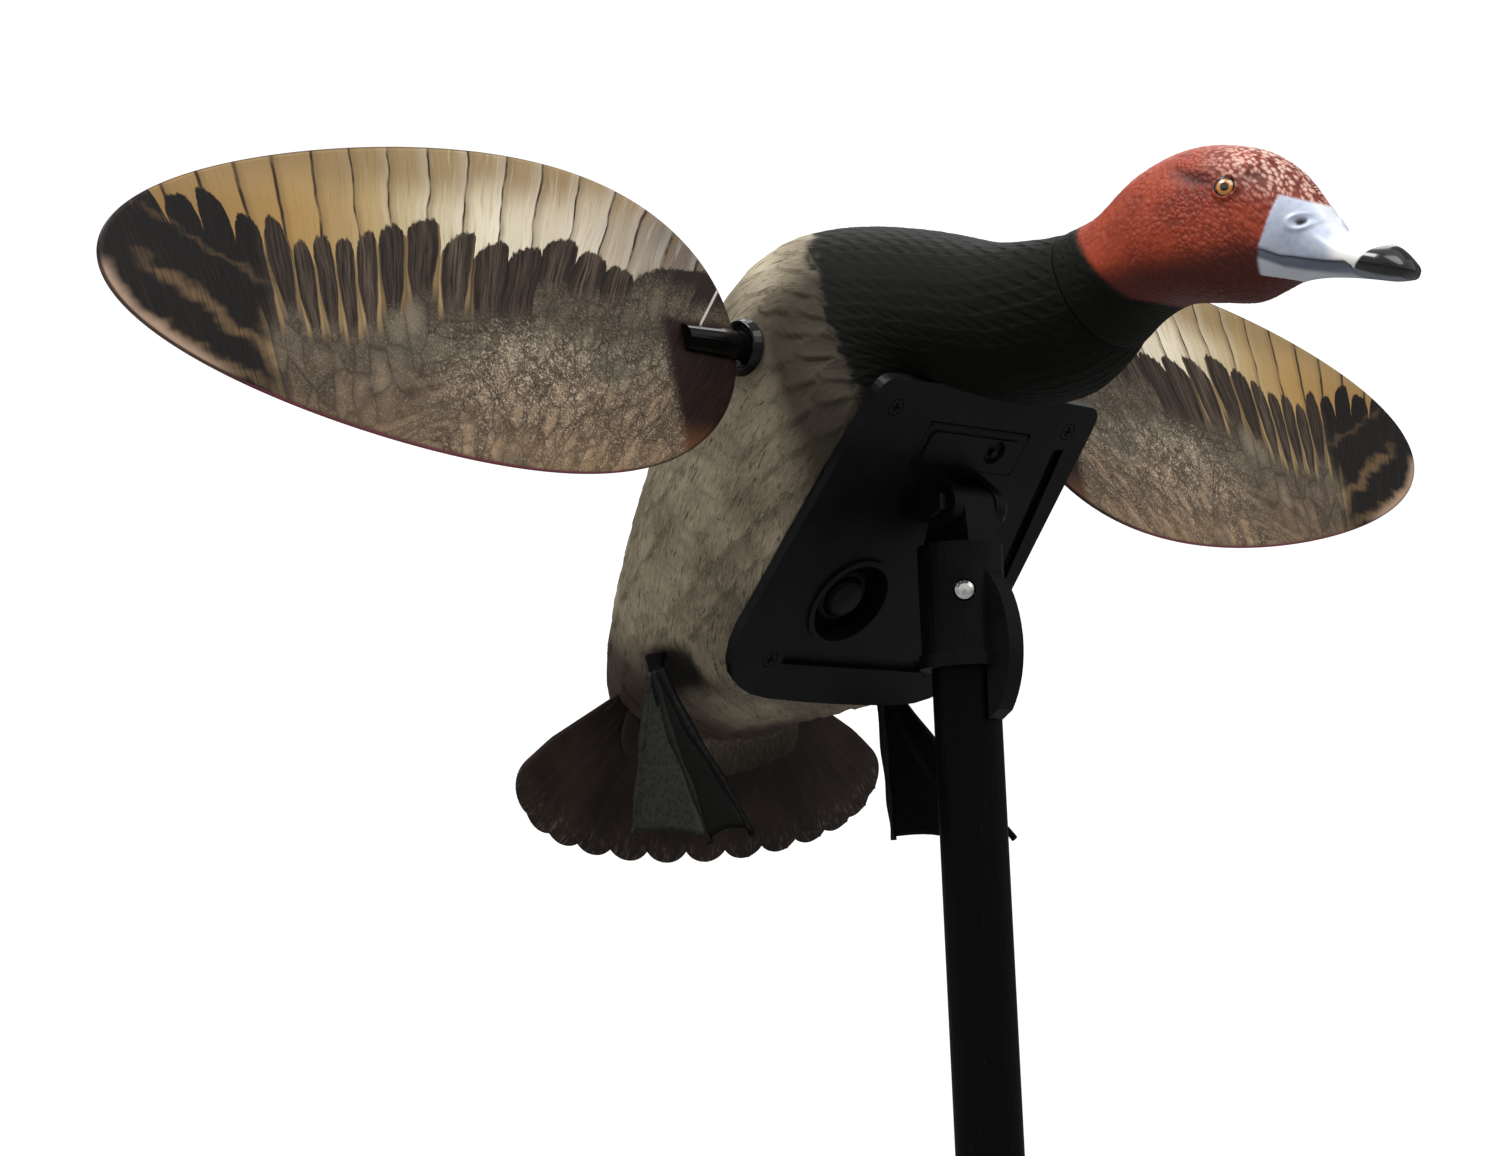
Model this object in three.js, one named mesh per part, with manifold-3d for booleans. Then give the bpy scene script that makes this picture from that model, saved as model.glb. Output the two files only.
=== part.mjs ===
// Motion wing decoy: a diving-duck body in a landing pose on a pole, with two printed wings spun by a motor.
// Row frame: origin at the centre of the pole's lower end, +Z up the pole, +X ahead, +Y the bird's left.
import * as THREE from "three";
import { mergeVertices } from "three/addons/utils/BufferGeometryUtils.js";
import Module from "manifold-3d";

const wasm = await Module();
wasm.setup();

// ------------------------------------------------------------ driving dimensions, in millimetres and degrees
const POLE_RADIUS = 12.7; // a one-inch steel tube
const POLE_WALL = 1.6;
const POLE_LENGTH = 457; // one eighteen-inch section
const POLE_TO_AXLE = 38; // the wing axle lies this far behind the pole
const POLE_TOP_TO_AXLE = 79; // and this far above its top
const AXLE_DROP = 7; // the axle runs this far below the body's own drawing origin
const PITCH = 49; // how steeply the body stands above level flight
const SHELL_WALL = 2.4;
const GAP = 0.3; // left between pieces that touch

const AXLE_Z = POLE_LENGTH + POLE_TOP_TO_AXLE;
const BIRD_Z = AXLE_Z + AXLE_DROP;
const HALF_SPAN = 355; // axle centre to wing tip
const WING_LENGTH = 279; // eleven inches
const WING_CHORD = 118;
const WING_THICKNESS = 1.6;
const WING_LEAN = 11; // the wing's top edge leans this far back of vertical at rest

const PLATE_FRONT = 19.6; // front edge of the belly plate, along the body from the axle
const PLATE_LENGTH = 140;
const PLATE_FACE = -63.5; // its outer face, below the axle
const PLATE_THICKNESS = 4;

const PIVOT_X = 3; // tilt pivot, forward of the pole's axis
const PIVOT_RISE = 19.5; // and above the pole's top

const deg = THREE.MathUtils.degToRad;
const colour = {
  black: [0x15161a, 0.45, 0],
  blackSteel: [0x0d0e10, 0.35, 0.4],
  steel: [0xb4b6b8, 0.3, 1],
  brass: [0xb08a40, 0.35, 1],
  breast: [0x23241f, 0.8, 0],
  red: [0x8f3a26, 0.65, 0],
  brown: [0x3a302c, 0.8, 0],
  foot: [0x33353a, 0.7, 0],
  wing: [0x9a8a70, 0.35, 0],
  amber: [0xd08a20, 0.1, 0],
  cell: [0x4c6b52, 0.4, 0.3],
  board: [0x1f5a35, 0.5, 0],
  redWire: [0xa02018, 0.5, 0],
};

// ---------------------------------------------------------------- solids and joining
function solidOf(geometry) {
  const g = geometry.clone();
  g.deleteAttribute("normal");
  g.deleteAttribute("uv");
  const merged = mergeVertices(g, 1e-3);
  const mesh = new wasm.Mesh({
    numProp: 3,
    vertProperties: new Float32Array(merged.attributes.position.array),
    triVerts: new Uint32Array(merged.index.array),
  });
  return new wasm.Manifold(mesh);
}

function geometryOf(solid) {
  const mesh = solid.getMesh();
  const geometry = new THREE.BufferGeometry();
  const stride = mesh.numProp;
  const points = new Float32Array(mesh.numVert * 3);
  for (let i = 0; i < mesh.numVert; i++) {
    points.set(mesh.vertProperties.subarray(i * stride, i * stride + 3), i * 3);
  }
  geometry.setAttribute("position", new THREE.BufferAttribute(points, 3));
  geometry.setIndex(new THREE.BufferAttribute(mesh.triVerts, 1));
  return geometry;
}

const join = (...parts) => geometryOf(parts.map(solidOf).reduce((a, b) => a.add(b)));
const cut = (base, ...tools) => geometryOf(tools.map(solidOf).reduce((a, b) => a.subtract(b), solidOf(base)));
const meet = (a, b) => geometryOf(solidOf(a).intersect(solidOf(b)));

// ---------------------------------------------------------------- plain shapes, each returned in place
function box(sx, sy, sz, x = 0, y = 0, z = 0) {
  return new THREE.BoxGeometry(sx, sy, sz).translate(x, y, z);
}

const AXIS_TURN = { x: [0, 0, -90], y: [0, 0, 0], z: [90, 0, 0] };

// A cylinder along axis, centred on (x, y, z).
function rod(axis, radius, length, x = 0, y = 0, z = 0, sides = 24, endRadius = radius) {
  const g = new THREE.CylinderGeometry(endRadius, radius, length, sides);
  const [rx, , rz] = AXIS_TURN[axis];
  return g.rotateX(deg(rx)).rotateZ(deg(rz)).translate(x, y, z);
}

// A plate of the outline drawn in x and y, from z = low up to z = high.
function slab(shape, low, high, curveSegments = 6) {
  const g = new THREE.ExtrudeGeometry(shape, { depth: high - low, bevelEnabled: false, curveSegments });
  return g.translate(0, 0, low);
}

// A plate of the outline drawn in x and z, between y = low and y = high.
function cheek(shape, low, high, curveSegments = 8) {
  const g = new THREE.ExtrudeGeometry(shape, { depth: high - low, bevelEnabled: false, curveSegments });
  return g.rotateX(deg(90)).translate(0, high, 0);
}

// A bar of constant section swept along a smooth curve through points.
function wire(points, radius, steps = 10, sides = 3) {
  const section = new THREE.Shape().absarc(0, 0, radius, 0, 2 * Math.PI);
  const path = new THREE.CatmullRomCurve3(points.map((p) => new THREE.Vector3(...p)));
  return new THREE.ExtrudeGeometry(section, { steps, extrudePath: path, curveSegments: sides });
}

function roundedRectangle(x0, x1, y0, y1, r) {
  const s = new THREE.Shape();
  s.moveTo(x0 + r, y0).lineTo(x1 - r, y0).absarc(x1 - r, y0 + r, r, -Math.PI / 2, 0);
  s.lineTo(x1, y1 - r).absarc(x1 - r, y1 - r, r, 0, Math.PI / 2);
  s.lineTo(x0 + r, y1).absarc(x0 + r, y1 - r, r, Math.PI / 2, Math.PI);
  s.lineTo(x0, y0 + r).absarc(x0 + r, y0 + r, r, Math.PI, 1.5 * Math.PI);
  return s;
}

// ---------------------------------------------------------------- lofted skins
// A station, from the bird's drawing origin, is
// [x, z, slope of the centre line, half width, height above it, depth below it, squareness below].
const BODY = [
  [-119, -155, 66, 25, 6, 6, 2.2],
  [-111, -137, 60, 37, 13, 12, 2.2],
  [-100, -124, 53, 49, 25, 22, 2.4],
  [-85, -111, 50, 57, 38, 36, 3],
  [-63, -91, 50, 65, 50, 55, 4],
  [-41, -64, 50, 69, 57, 60, 5],
  [-19, -36, 50, 71, 59, 60, 5],
  [4, -10, 50, 71, 58, 59, 4],
  [18, 2, 45, 68, 55, 53, 3],
  [33, 8, 38, 62, 47, 49, 2.5],
  [55, 6, 28, 52, 37, 44, 2.2],
  [80, 2, 22, 39, 28, 37, 2.2],
  [100, 2, 19, 30, 24, 30, 2.2],
  [112, 4, 18, 25, 21.5, 25, 2.2],
];
const HEAD = [
  [112, 4, 18, 25, 21.5, 25, 2.2],
  [127, 9, 15, 23, 20, 22, 2.2],
  [144, 14, 7, 23, 26, 23, 2.2],
  [163, 16, 1, 22.5, 28, 27, 2.2],
  [182, 13, -8, 20.5, 26.3, 27, 2.2],
  [194, 7.5, -16, 16, 22.6, 20.5, 2.2], // the face, where the bill begins
  [203, 3.5, -20, 13, 16, 14.5, 2.2],
  [212, -1, -22, 11.5, 7.9, 10.2, 2.2],
  [221, -5.5, -21, 10.8, 4.7, 7.2, 2.2],
  [230, -9.5, -18, 10.6, 4.8, 5.4, 2.2],
  [238, -12.7, -13, 9.6, 5, 4.4, 2.2],
  [243.5, -15, -10, 5.8, 2.5, 2.6, 2.2],
];

// Smooth cubic through the stations' column k, read at t from 0 to 1.
function column(stations, k, t) {
  const last = stations.length - 1;
  const i = Math.min(last - 1, Math.floor(t * last));
  const f = t * last - i;
  const at = (j) => stations[Math.max(0, Math.min(last, j))][k];
  const m0 = (at(i + 1) - at(i - 1)) / 2;
  const m1 = (at(i + 2) - at(i)) / 2;
  const bend = (2 * f ** 3 - 3 * f ** 2) * (at(i) - at(i + 1)) + (f ** 3 - 2 * f ** 2 + f) * m0;
  return at(i) + bend + (f ** 3 - f ** 2) * m1;
}

// The point of a skin at t along it and angle a around it, `inset` inside the outer surface.
function skinPoint(stations, t, a, inset = 0) {
  const [x, z, slope, half, up, down, square] = stations[0].map((_, k) => column(stations, k, t));
  const below = Math.sin(a) < 0;
  const power = 2 / (below ? square : 2.2);
  const round = (v) => Math.sign(v) * Math.abs(v) ** power;
  const across = round(Math.cos(a)) * (half - inset);
  const rise = round(Math.sin(a)) * ((below ? down : up) - inset);
  return [x - Math.sin(deg(slope)) * rise, across, z + Math.cos(deg(slope)) * rise];
}

// A closed skin through the stations from t = from to t = to, its two ends capped.
function loft(stations, along, around, inset = 0, from = 0, to = 1) {
  const points = [];
  const faces = [];
  for (let i = 0; i <= along; i++) {
    const t = from + ((to - from) * i) / along;
    for (let j = 0; j < around; j++) points.push(skinPoint(stations, t, (2 * Math.PI * j) / around, inset));
  }
  const at = (i, j) => i * around + (j % around);
  for (let i = 0; i < along; i++) {
    for (let j = 0; j < around; j++) {
      faces.push(at(i, j), at(i, j + 1), at(i + 1, j + 1), at(i, j), at(i + 1, j + 1), at(i + 1, j));
    }
  }
  for (const [i, first] of [[0, 1], [along, 0]]) {
    const ring = points.slice(i * around, (i + 1) * around);
    points.push([0, 1, 2].map((k) => ring.reduce((sum, p) => sum + p[k], 0) / around));
    const centre = points.length - 1;
    for (let j = 0; j < around; j++) faces.push(centre, at(i, j + first), at(i, j + 1 - first));
  }
  const g = new THREE.BufferGeometry();
  g.setAttribute("position", new THREE.Float32BufferAttribute(points.flat(), 3));
  g.setIndex(faces);
  return g;
}

// ---------------------------------------------------------------- the bird's skin, in the axle's frame
// Pieces drawn level (x forward, z up from the axle) are turned nose-up into place.
const pitched = (g) => g.rotateY(deg(-PITCH));

const PLATE_INSIDE = PLATE_FACE + PLATE_THICKNESS;
const PLATE_REAR = PLATE_FRONT - PLATE_LENGTH;
const SCREWS = [[8, 48], [8, -48], [-103, 44.5], [-103, -44.5]];
const SCREW_RADIUS = 1.75;
const BUSH_RADIUS = 11;
const BUSH_BORE = 8; // hole in the shell's side for the bush's neck
const LEG = { x: -62, y: 55, z: -119, peg: 3, splay: 8 };
const TOES = [[-7, -66], [36, -72.5], [60, -72.5]]; // rear, middle and front toe tips from the leg's peg
const FAN = { x: -97, z: -118, lean: 10, thickness: 2.4, root: 34, roll: 3 };

function screwBlocks(outer) {
  const middle = PLATE_INSIDE + GAP + 8;
  return SCREWS.map(([x, y]) => meet(pitched(box(13, 34, 16, x, y + Math.sign(y) * 12, middle)), outer));
}

function bodyShell() {
  const outer = loft(BODY, 24, 26);
  const hollow = cut(outer, loft(BODY, 11, 14, SHELL_WALL, 0.02, 0.985), neckOpening());
  const blocked = join(hollow, ...screwBlocks(outer));
  const belly = pitched(box(320, 200, 60, PLATE_FRONT + 1 - 160, 0, PLATE_INSIDE + GAP - 30));
  const pilot = ([x, y]) => pitched(rod("z", SCREW_RADIUS + GAP, 14, x, y, PLATE_INSIDE + 7, 10));
  const shaftHole = rod("y", BUSH_BORE + GAP, 200, 0, 0, -AXLE_DROP, 20);
  const legHoles = rod("y", LEG.peg + GAP, 200, LEG.x, 0, LEG.z, 12);
  return cut(blocked, belly, ...SCREWS.map(pilot), shaftHole, legHoles, tailFan(GAP));
}

// Opens the neck's end so the head's hollow and the body's are one.
function neckOpening() {
  return loft(BODY, 2, 16, SHELL_WALL + 3, 0.95, 1).translate(3, 0, 1);
}

function headShell() {
  const hollow = loft(HEAD, 6, 12, SHELL_WALL + 1, 0, 0.42);
  const mouth = loft(HEAD, 1, 12, SHELL_WALL + 1, 0, 0.03).translate(-1.5, 0, -0.5);
  const shell = cut(loft(HEAD, 24, 20), hollow, mouth);
  return cut(shell, eyeball(1, GAP), eyeball(-1, GAP)).translate(0.35, 0, 0.12);
}

function eyeball(side, grow = 0) {
  return new THREE.SphereGeometry(4.6 + grow, 12, 8).translate(183, side * 17, 22.8);
}

// The outline of the spread tail: a root tongue, two flared sides and thirteen rounded feather tips.
function fanOutline(grow) {
  const feathers = 13;
  const s = new THREE.Shape();
  const ends = [[FAN.root + grow, -8 - grow], [FAN.root + grow, 2 - grow]];
  const side = [[84 + grow, 11 - grow], [95, 42]];
  s.moveTo(...ends[0]).lineTo(...ends[1]).quadraticCurveTo(...side[0], ...side[1]);
  for (let i = 0; i < feathers; i++) {
    const angle = ((i + 1) / feathers) * Math.PI;
    const middle = ((i + 0.5) / feathers) * Math.PI;
    const valley = [95 * Math.cos(angle), 42 + 25 * Math.sin(angle)];
    s.quadraticCurveTo(106 * Math.cos(middle), 42 + 35 * Math.sin(middle), ...valley);
  }
  s.quadraticCurveTo(-side[0][0], side[0][1], -ends[1][0], ends[1][1]).lineTo(-ends[0][0], ends[0][1]);
  return s;
}

// Drawn with y down the fan, then hung so the fan falls from its root, leans back and sits a little askew.
function tailFan(grow = 0) {
  const flat = slab(fanOutline(grow), -FAN.thickness / 2 - grow, FAN.thickness / 2 + grow, 3);
  return flat.rotateZ(deg(-90)).rotateY(deg(90 + FAN.lean)).rotateX(deg(FAN.roll)).translate(FAN.x, 0, FAN.z);
}

// A webbed foot hanging edge-on beside the flank, with its shank and the peg that holds it.
function foot(side) {
  const s = new THREE.Shape();
  const [rear, middle, front] = TOES;
  s.moveTo(-6, 2).quadraticCurveTo(0, 8, 6, 2).lineTo(6, -9).quadraticCurveTo(30, -36, ...front);
  s.quadraticCurveTo(49, -64, ...middle).quadraticCurveTo(14, -61, ...rear).quadraticCurveTo(-8, -34, -6, -9);
  const web = cheek(s, 6.4, 9.4, 5).rotateX(deg(LEG.splay));
  const body = join(web, rod("y", LEG.peg, 15, 0, 0.5, 0, 12));
  return (side > 0 ? body : mirrored(body)).translate(LEG.x, side * LEG.y, LEG.z);
}

// The left-handed twin of a solid, reflected across the plane y = 0.
function mirrored(geometry) {
  const g = geometry.clone().scale(1, -1, 1);
  const index = g.index.array;
  for (let i = 0; i < index.length; i += 3) [index[i], index[i + 1]] = [index[i + 1], index[i]];
  return g;
}

// ------------------------------------------------------------ belly plate and what sits in it, drawn level
const WELL = { x: -75.5, y: -19, radius: 17, depth: 9 };
const WELL_FLOOR = PLATE_FACE + WELL.depth - 1;
const CUP_TOP = WELL_FLOOR + 3; // the well's cup stands this high inside the plate
const BUTTON = { radius: 8, hole: 5.5 };
const HATCH = { front: 3, rear: -13.5, right: -26, left: 29, thickness: 2 };
const SCOOP = { x: -4.6, y: 14 }; // the round finger recess in the hatch
const HATCH_PIN = { x: HATCH.front, z: PLATE_FACE + 1.5, radius: 0.7, knuckle: 1.5 };
const TONGUE = { x: -10, y: 10, width: 11, thickness: 1.4 };
const LUG = { inner: 9, outer: 14, radius: 8.5 };
const BOLT_RADIUS = 3;
const PIVOT_BORE = BOLT_RADIUS + 0.08; // running clearance

const HATCH_MIDDLE_Y = (HATCH.left + HATCH.right) / 2;

// The tilt pivot, in the level frame: below the plate, where it stands over the pole.
const pivot = (() => {
  const x = POLE_TO_AXLE + PIVOT_X;
  const z = PIVOT_RISE - POLE_TOP_TO_AXLE - AXLE_DROP;
  const c = Math.cos(deg(PITCH));
  const s = Math.sin(deg(PITCH));
  return { x: c * x + s * z, z: -s * x + c * z };
})();

function plateOutline() {
  const s = new THREE.Shape();
  const tuck = 22; // radius of the two rear corners
  s.moveTo(PLATE_FRONT, -54).quadraticCurveTo(PLATE_FRONT + 1.5, 0, PLATE_FRONT, 54);
  s.quadraticCurveTo(PLATE_FRONT, 60, PLATE_FRONT - 7, 61).lineTo(PLATE_REAR + 30, 67);
  s.quadraticCurveTo(PLATE_REAR + 2, 66, PLATE_REAR, 67 - 1.4 * tuck);
  s.quadraticCurveTo(PLATE_REAR - 2, 0, PLATE_REAR, 1.4 * tuck - 67);
  s.quadraticCurveTo(PLATE_REAR + 2, -66, PLATE_REAR + 30, -67).lineTo(PLATE_FRONT - 7, -61);
  s.quadraticCurveTo(PLATE_FRONT, -60, PLATE_FRONT, -54);
  return s;
}

function lug(side) {
  const r = LUG.radius;
  const s = new THREE.Shape();
  s.moveTo(pivot.x - r - 6, PLATE_FACE + 1).lineTo(pivot.x - r, pivot.z);
  s.absarc(pivot.x, pivot.z, r, Math.PI, 2 * Math.PI).lineTo(pivot.x + r, PLATE_FACE + 1);
  return side > 0 ? cheek(s, LUG.inner, LUG.outer) : cheek(s, -LUG.outer, -LUG.inner);
}

// A shallow groove along the plate's face, from one (x, y) to another.
function groove(x0, y0, x1, y1) {
  const length = Math.hypot(x1 - x0, y1 - y0);
  const g = box(length, 5.4, 5);
  return g.rotateZ(Math.atan2(y1 - y0, x1 - x0)).translate((x0 + x1) / 2, (y0 + y1) / 2, PLATE_FACE);
}

function basePlate() {
  const hatchMiddle = (HATCH.front + HATCH.rear) / 2;
  const sides = [HATCH.left + GAP, HATCH.right - GAP];
  const base = slab(plateOutline(), PLATE_FACE, PLATE_INSIDE);
  const cup = rod("z", WELL.radius + 3, 9, WELL.x, WELL.y, CUP_TOP - 4.5, 28);
  const rim = rod("z", WELL.radius + 2.4, 3, WELL.x, WELL.y, PLATE_FACE + 0.5, 28);
  const solid = join(base, cup, rim, lug(1), lug(-1));
  const well = rod("z", WELL.radius, WELL.depth, WELL.x, WELL.y, PLATE_FACE + WELL.depth / 2 - 1, 28);
  const button = rod("z", BUTTON.hole + GAP, 30, WELL.x, WELL.y, PLATE_FACE, 20);
  const hatchPocket = slab(
    roundedRectangle(HATCH.rear - GAP, HATCH.front + HATCH_PIN.knuckle + GAP, sides[1], sides[0], 0.6),
    PLATE_FACE - 1,
    PLATE_FACE + HATCH.thickness + GAP,
  );
  const across = HATCH.left - HATCH.right;
  const window = box(11, 30, 12, hatchMiddle, 0, PLATE_FACE);
  const knuckle = rod("y", HATCH_PIN.knuckle + 0.4, across, HATCH_PIN.x, HATCH_MIDDLE_Y, HATCH_PIN.z, 16);
  const pin = rod("y", HATCH_PIN.radius + 0.2, across + 8, HATCH_PIN.x, HATCH_MIDDLE_Y, HATCH_PIN.z, 10);
  const tongueSlot = box(3.6, TONGUE.width + 1, 12, TONGUE.x - 0.4, TONGUE.y, PLATE_FACE);
  const shanks = SCREWS.map(([x, y]) => rod("z", SCREW_RADIUS + GAP, 20, x, y, PLATE_FACE, 10));
  const heads = SCREWS.map(([x, y]) => rod("z", 3.6, 4, x, y, PLATE_FACE, 14));
  const bolt = rod("y", PIVOT_BORE, 60, pivot.x, 0, pivot.z, 18);
  const marks = [groove(0, 48.5, -68, 57), groove(-102, -38, -102, 40)];
  const openings = [well, button, hatchPocket, window, tongueSlot, knuckle, pin, bolt];
  return cut(solid, ...openings, ...shanks, ...heads, ...frameScrewHoles(), ...marks);
}

function plateScrew(x, y) {
  const head = rod("z", 3.3, 2, x, y, PLATE_FACE + 1, 14);
  const shank = rod("z", SCREW_RADIUS, 14, x, y, PLATE_FACE + 8, 10);
  const slots = [box(4, 0.9, 1.6, x, y, PLATE_FACE), box(0.9, 4, 1.6, x, y, PLATE_FACE)];
  return cut(join(head, shank), ...slots);
}

function hatch() {
  const outline = roundedRectangle(HATCH.rear, HATCH.front + 0.01, HATCH.right, HATCH.left, 2);
  const leaf = slab(outline, PLATE_FACE, PLATE_FACE + HATCH.thickness);
  const raised = roundedRectangle(HATCH.rear + 2, HATCH.front - 2, HATCH.right + 3, HATCH.left - 3, 3);
  const pad = slab(raised, PLATE_FACE - 0.8, PLATE_FACE + 1);
  const width = HATCH.left - HATCH.right - 2;
  const knuckle = rod("y", HATCH_PIN.knuckle, width, HATCH_PIN.x, HATCH_MIDDLE_Y, HATCH_PIN.z, 16);
  const tongue = box(TONGUE.thickness, TONGUE.width, 6, TONGUE.x, TONGUE.y, PLATE_FACE + 4);
  const scoop = rod("z", 5.6, 3, SCOOP.x, SCOOP.y, PLATE_FACE - 0.5, 24, 4.2);
  const nub = rod("z", 1.7, 1.4, SCOOP.x - 1, SCOOP.y + 1, PLATE_FACE + 0.5, 12);
  const bore = rod("y", HATCH_PIN.radius + 0.1, 80, HATCH_PIN.x, 0, HATCH_PIN.z, 10);
  return join(cut(join(leaf, pad, knuckle, tongue), scoop, bore), nub);
}

function hatchPin() {
  return rod("y", HATCH_PIN.radius, 60, HATCH_PIN.x, HATCH_MIDDLE_Y, HATCH_PIN.z, 10);
}

function chargeSocket() {
  const x = (HATCH.front + HATCH.rear) / 2 - 1;
  const flange = box(16, 34, 2, x + 2, 0, PLATE_INSIDE + GAP + 1);
  const body = box(9, 20, 9, x + 3, 0, PLATE_INSIDE + GAP + 4.5);
  const notch = box(6, 14, 6, TONGUE.x - 0.5, TONGUE.y, PLATE_INSIDE + 1);
  return cut(join(flange, body), notch, rod("z", 2.8, 10, x + 3, 0, PLATE_INSIDE + 1, 14));
}

const BUTTON_TRAVEL = 3;

function powerButton() {
  const rest = WELL_FLOOR - BUTTON_TRAVEL - GAP;
  const profile = [[0, -5], [3, -4.8], [5.6, -4], [7.3, -2.6], [BUTTON.radius, -0.8], [BUTTON.radius, 0]];
  profile.push([BUTTON.hole, 0], [BUTTON.hole, BUTTON_TRAVEL + 3.2], [0, BUTTON_TRAVEL + 3.2]);
  return turned(profile, 24).translate(WELL.x, WELL.y, rest);
}

function buttonSeal() {
  const inner = BUTTON.radius + 0.5;
  const ridge = [[inner, -3], [inner + 1, -4], [inner + 2.6, -3]];
  const profile = [[inner, -GAP], ...ridge, [inner + 4, -GAP], [inner, -GAP]];
  return turned(profile, 28).translate(WELL.x, WELL.y, WELL_FLOOR);
}

// A solid of revolution about z; the profile holds [radius, height] pairs.
function turned(profile, sides) {
  const points = profile.map(([r, h]) => new THREE.Vector2(r, h));
  const rising = profile.reduce((sum, [r, h], i) => {
    const [r1, h1] = profile[(i + 1) % profile.length];
    return sum + r * h1 - r1 * h;
  }, 0);
  if (rising < 0) points.reverse();
  return geometryOf(solidOf(new THREE.LatheGeometry(points, sides).rotateX(deg(90))));
}

function powerSwitch() {
  const body = box(13, 13, 8, WELL.x, WELL.y, CUP_TOP + 10.5);
  const legs = [-1, 1].map((side) => box(2, 13, 8, WELL.x + side * 7.2, WELL.y, CUP_TOP + 4 + GAP));
  const ties = [-1, 1].map((side) => box(3, 13, 2, WELL.x + side * 6.7, WELL.y, CUP_TOP + 7.5));
  return join(body, ...legs, ...ties);
}

// ------------------------------------------------------------ drive and electrics in the body, drawn level
const AXLE_X = -AXLE_DROP * Math.sin(deg(PITCH));
const AXLE_UP = -AXLE_DROP * Math.cos(deg(PITCH));
const MOTOR = { radius: 14, half: 24, bore: 2.9 };
const SHAFT_RADIUS = 2.5;
const FRAME = { front: -20, rear: -50, inner: 19, outer: 22, thickness: 2.5 };
const FRAME_SCREWS = [[-44, -10], [-44, 10]];
const frameScrewHoles = () => FRAME_SCREWS.map(([x, y]) => rod("z", 1.7, 5.4, x, y, PLATE_INSIDE, 10));

function motor() {
  const can = join(
    rod("y", MOTOR.radius, 2 * MOTOR.half, AXLE_X, 0, AXLE_UP, 28),
    rod("y", 5, 2 * MOTOR.half + 8, AXLE_X, 0, AXLE_UP, 16),
  );
  return cut(can, rod("y", MOTOR.bore, 90, AXLE_X, 0, AXLE_UP, 16));
}

function motorFrame() {
  const foot = PLATE_INSIDE + GAP;
  const rim = MOTOR.radius + 4;
  const s = new THREE.Shape();
  s.moveTo(FRAME.rear, foot).lineTo(FRAME.front, foot).lineTo(AXLE_X + 0.9 * rim, AXLE_UP - 0.5 * rim);
  s.absarc(AXLE_X, AXLE_UP, rim, -0.5, 2.6).lineTo(FRAME.rear, foot + 12).lineTo(FRAME.rear, foot);
  const cheeks = [cheek(s, FRAME.inner, FRAME.outer), cheek(s, -FRAME.outer, -FRAME.inner)];
  const middle = (FRAME.front + FRAME.rear) / 2;
  const length = FRAME.front - FRAME.rear;
  const base = box(length, 2 * FRAME.outer, FRAME.thickness, middle, 0, foot + FRAME.thickness / 2);
  const cup = rod("z", WELL.radius + 3 + GAP, 20, WELL.x, WELL.y, PLATE_INSIDE, 28);
  const bore = rod("y", MOTOR.radius + GAP, 80, AXLE_X, 0, AXLE_UP, 28);
  const holes = FRAME_SCREWS.map(([x, y]) => rod("z", 1.9, 12, x, y, foot, 10));
  return cut(join(...cheeks, base), cup, bore, ...holes);
}

function frameScrew(x, y) {
  const seat = PLATE_INSIDE + GAP + FRAME.thickness + GAP;
  const head = rod("z", 3.2, 2, x, y, seat + 1, 12);
  return cut(join(head, rod("z", 1.5, 6, x, y, seat - 2.5, 10)), box(4, 0.9, 1.4, x, y, seat + 2));
}

const BATTERY = { x: -74.5, y: 25.5, length: 40, width: 43, height: 34, edge: 5 };

function batteryTray() {
  const floor = PLATE_INSIDE + GAP;
  const wall = 1.6;
  const { x, y, length, width } = BATTERY;
  const outer = box(length + 2 * (wall + GAP), width + 2 * (wall + GAP), 12, x, y, floor + 6);
  return cut(outer, box(length + 2 * GAP, width + 2 * GAP, 20, x, y, floor + wall + 10));
}

function batteryPack() {
  const { x, y, length, width, height, edge } = BATTERY;
  const bottom = PLATE_INSIDE + GAP + 1.6 + GAP;
  const ends = new THREE.Shape();
  const [low, high, near, far] = [y - width / 2, y + width / 2, bottom, bottom + height];
  ends.moveTo(low, near).lineTo(high, near).lineTo(high, far - edge);
  ends.absarc(high - edge, far - edge, edge, 0, Math.PI / 2);
  ends.lineTo(low + edge, far).absarc(low + edge, far - edge, edge, Math.PI / 2, Math.PI).lineTo(low, near);
  const block = new THREE.ExtrudeGeometry(ends, { depth: length, bevelEnabled: false, curveSegments: 4 });
  return block.rotateX(deg(90)).rotateZ(deg(90)).translate(x - length / 2, 0, 0);
}

function controlBoard() {
  const y = -(FRAME.outer + 3);
  const board = box(26, 1.6, 26, -36, y, -34);
  const chips = [box(8, 3, 8, -40, y - 2, -36), box(5, 4, 10, -29, y - 2.4, -30)];
  const spacers = [rod("y", 1.5, 2.7, -36, y + 1.5, -40, 10), rod("y", 1.5, 2.7, -28, y + 1.5, -44, 10)];
  return join(board, ...chips, ...spacers.map((g) => g.translate(0, -0.1, 0)));
}

const LEADS = {
  battery_lead_red: {
    look: "redWire",
    points: [[-53.6, 20, -30], [-52, 6, -20], [-48, -12, -14], [-45, -24.9, -19.9]],
  },
  battery_lead_black: {
    look: "black",
    points: [[-53.6, 32, -30], [-50, 16, -14], [-44, -8, -8], [-41, -24.9, -19.9]],
  },
  motor_lead: {
    look: "redWire",
    points: [[-27, -24.9, -19.9], [-24, -27.5, -13], [-18, -28, -10], [-13, -25.5, -9]],
  },
};

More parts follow.
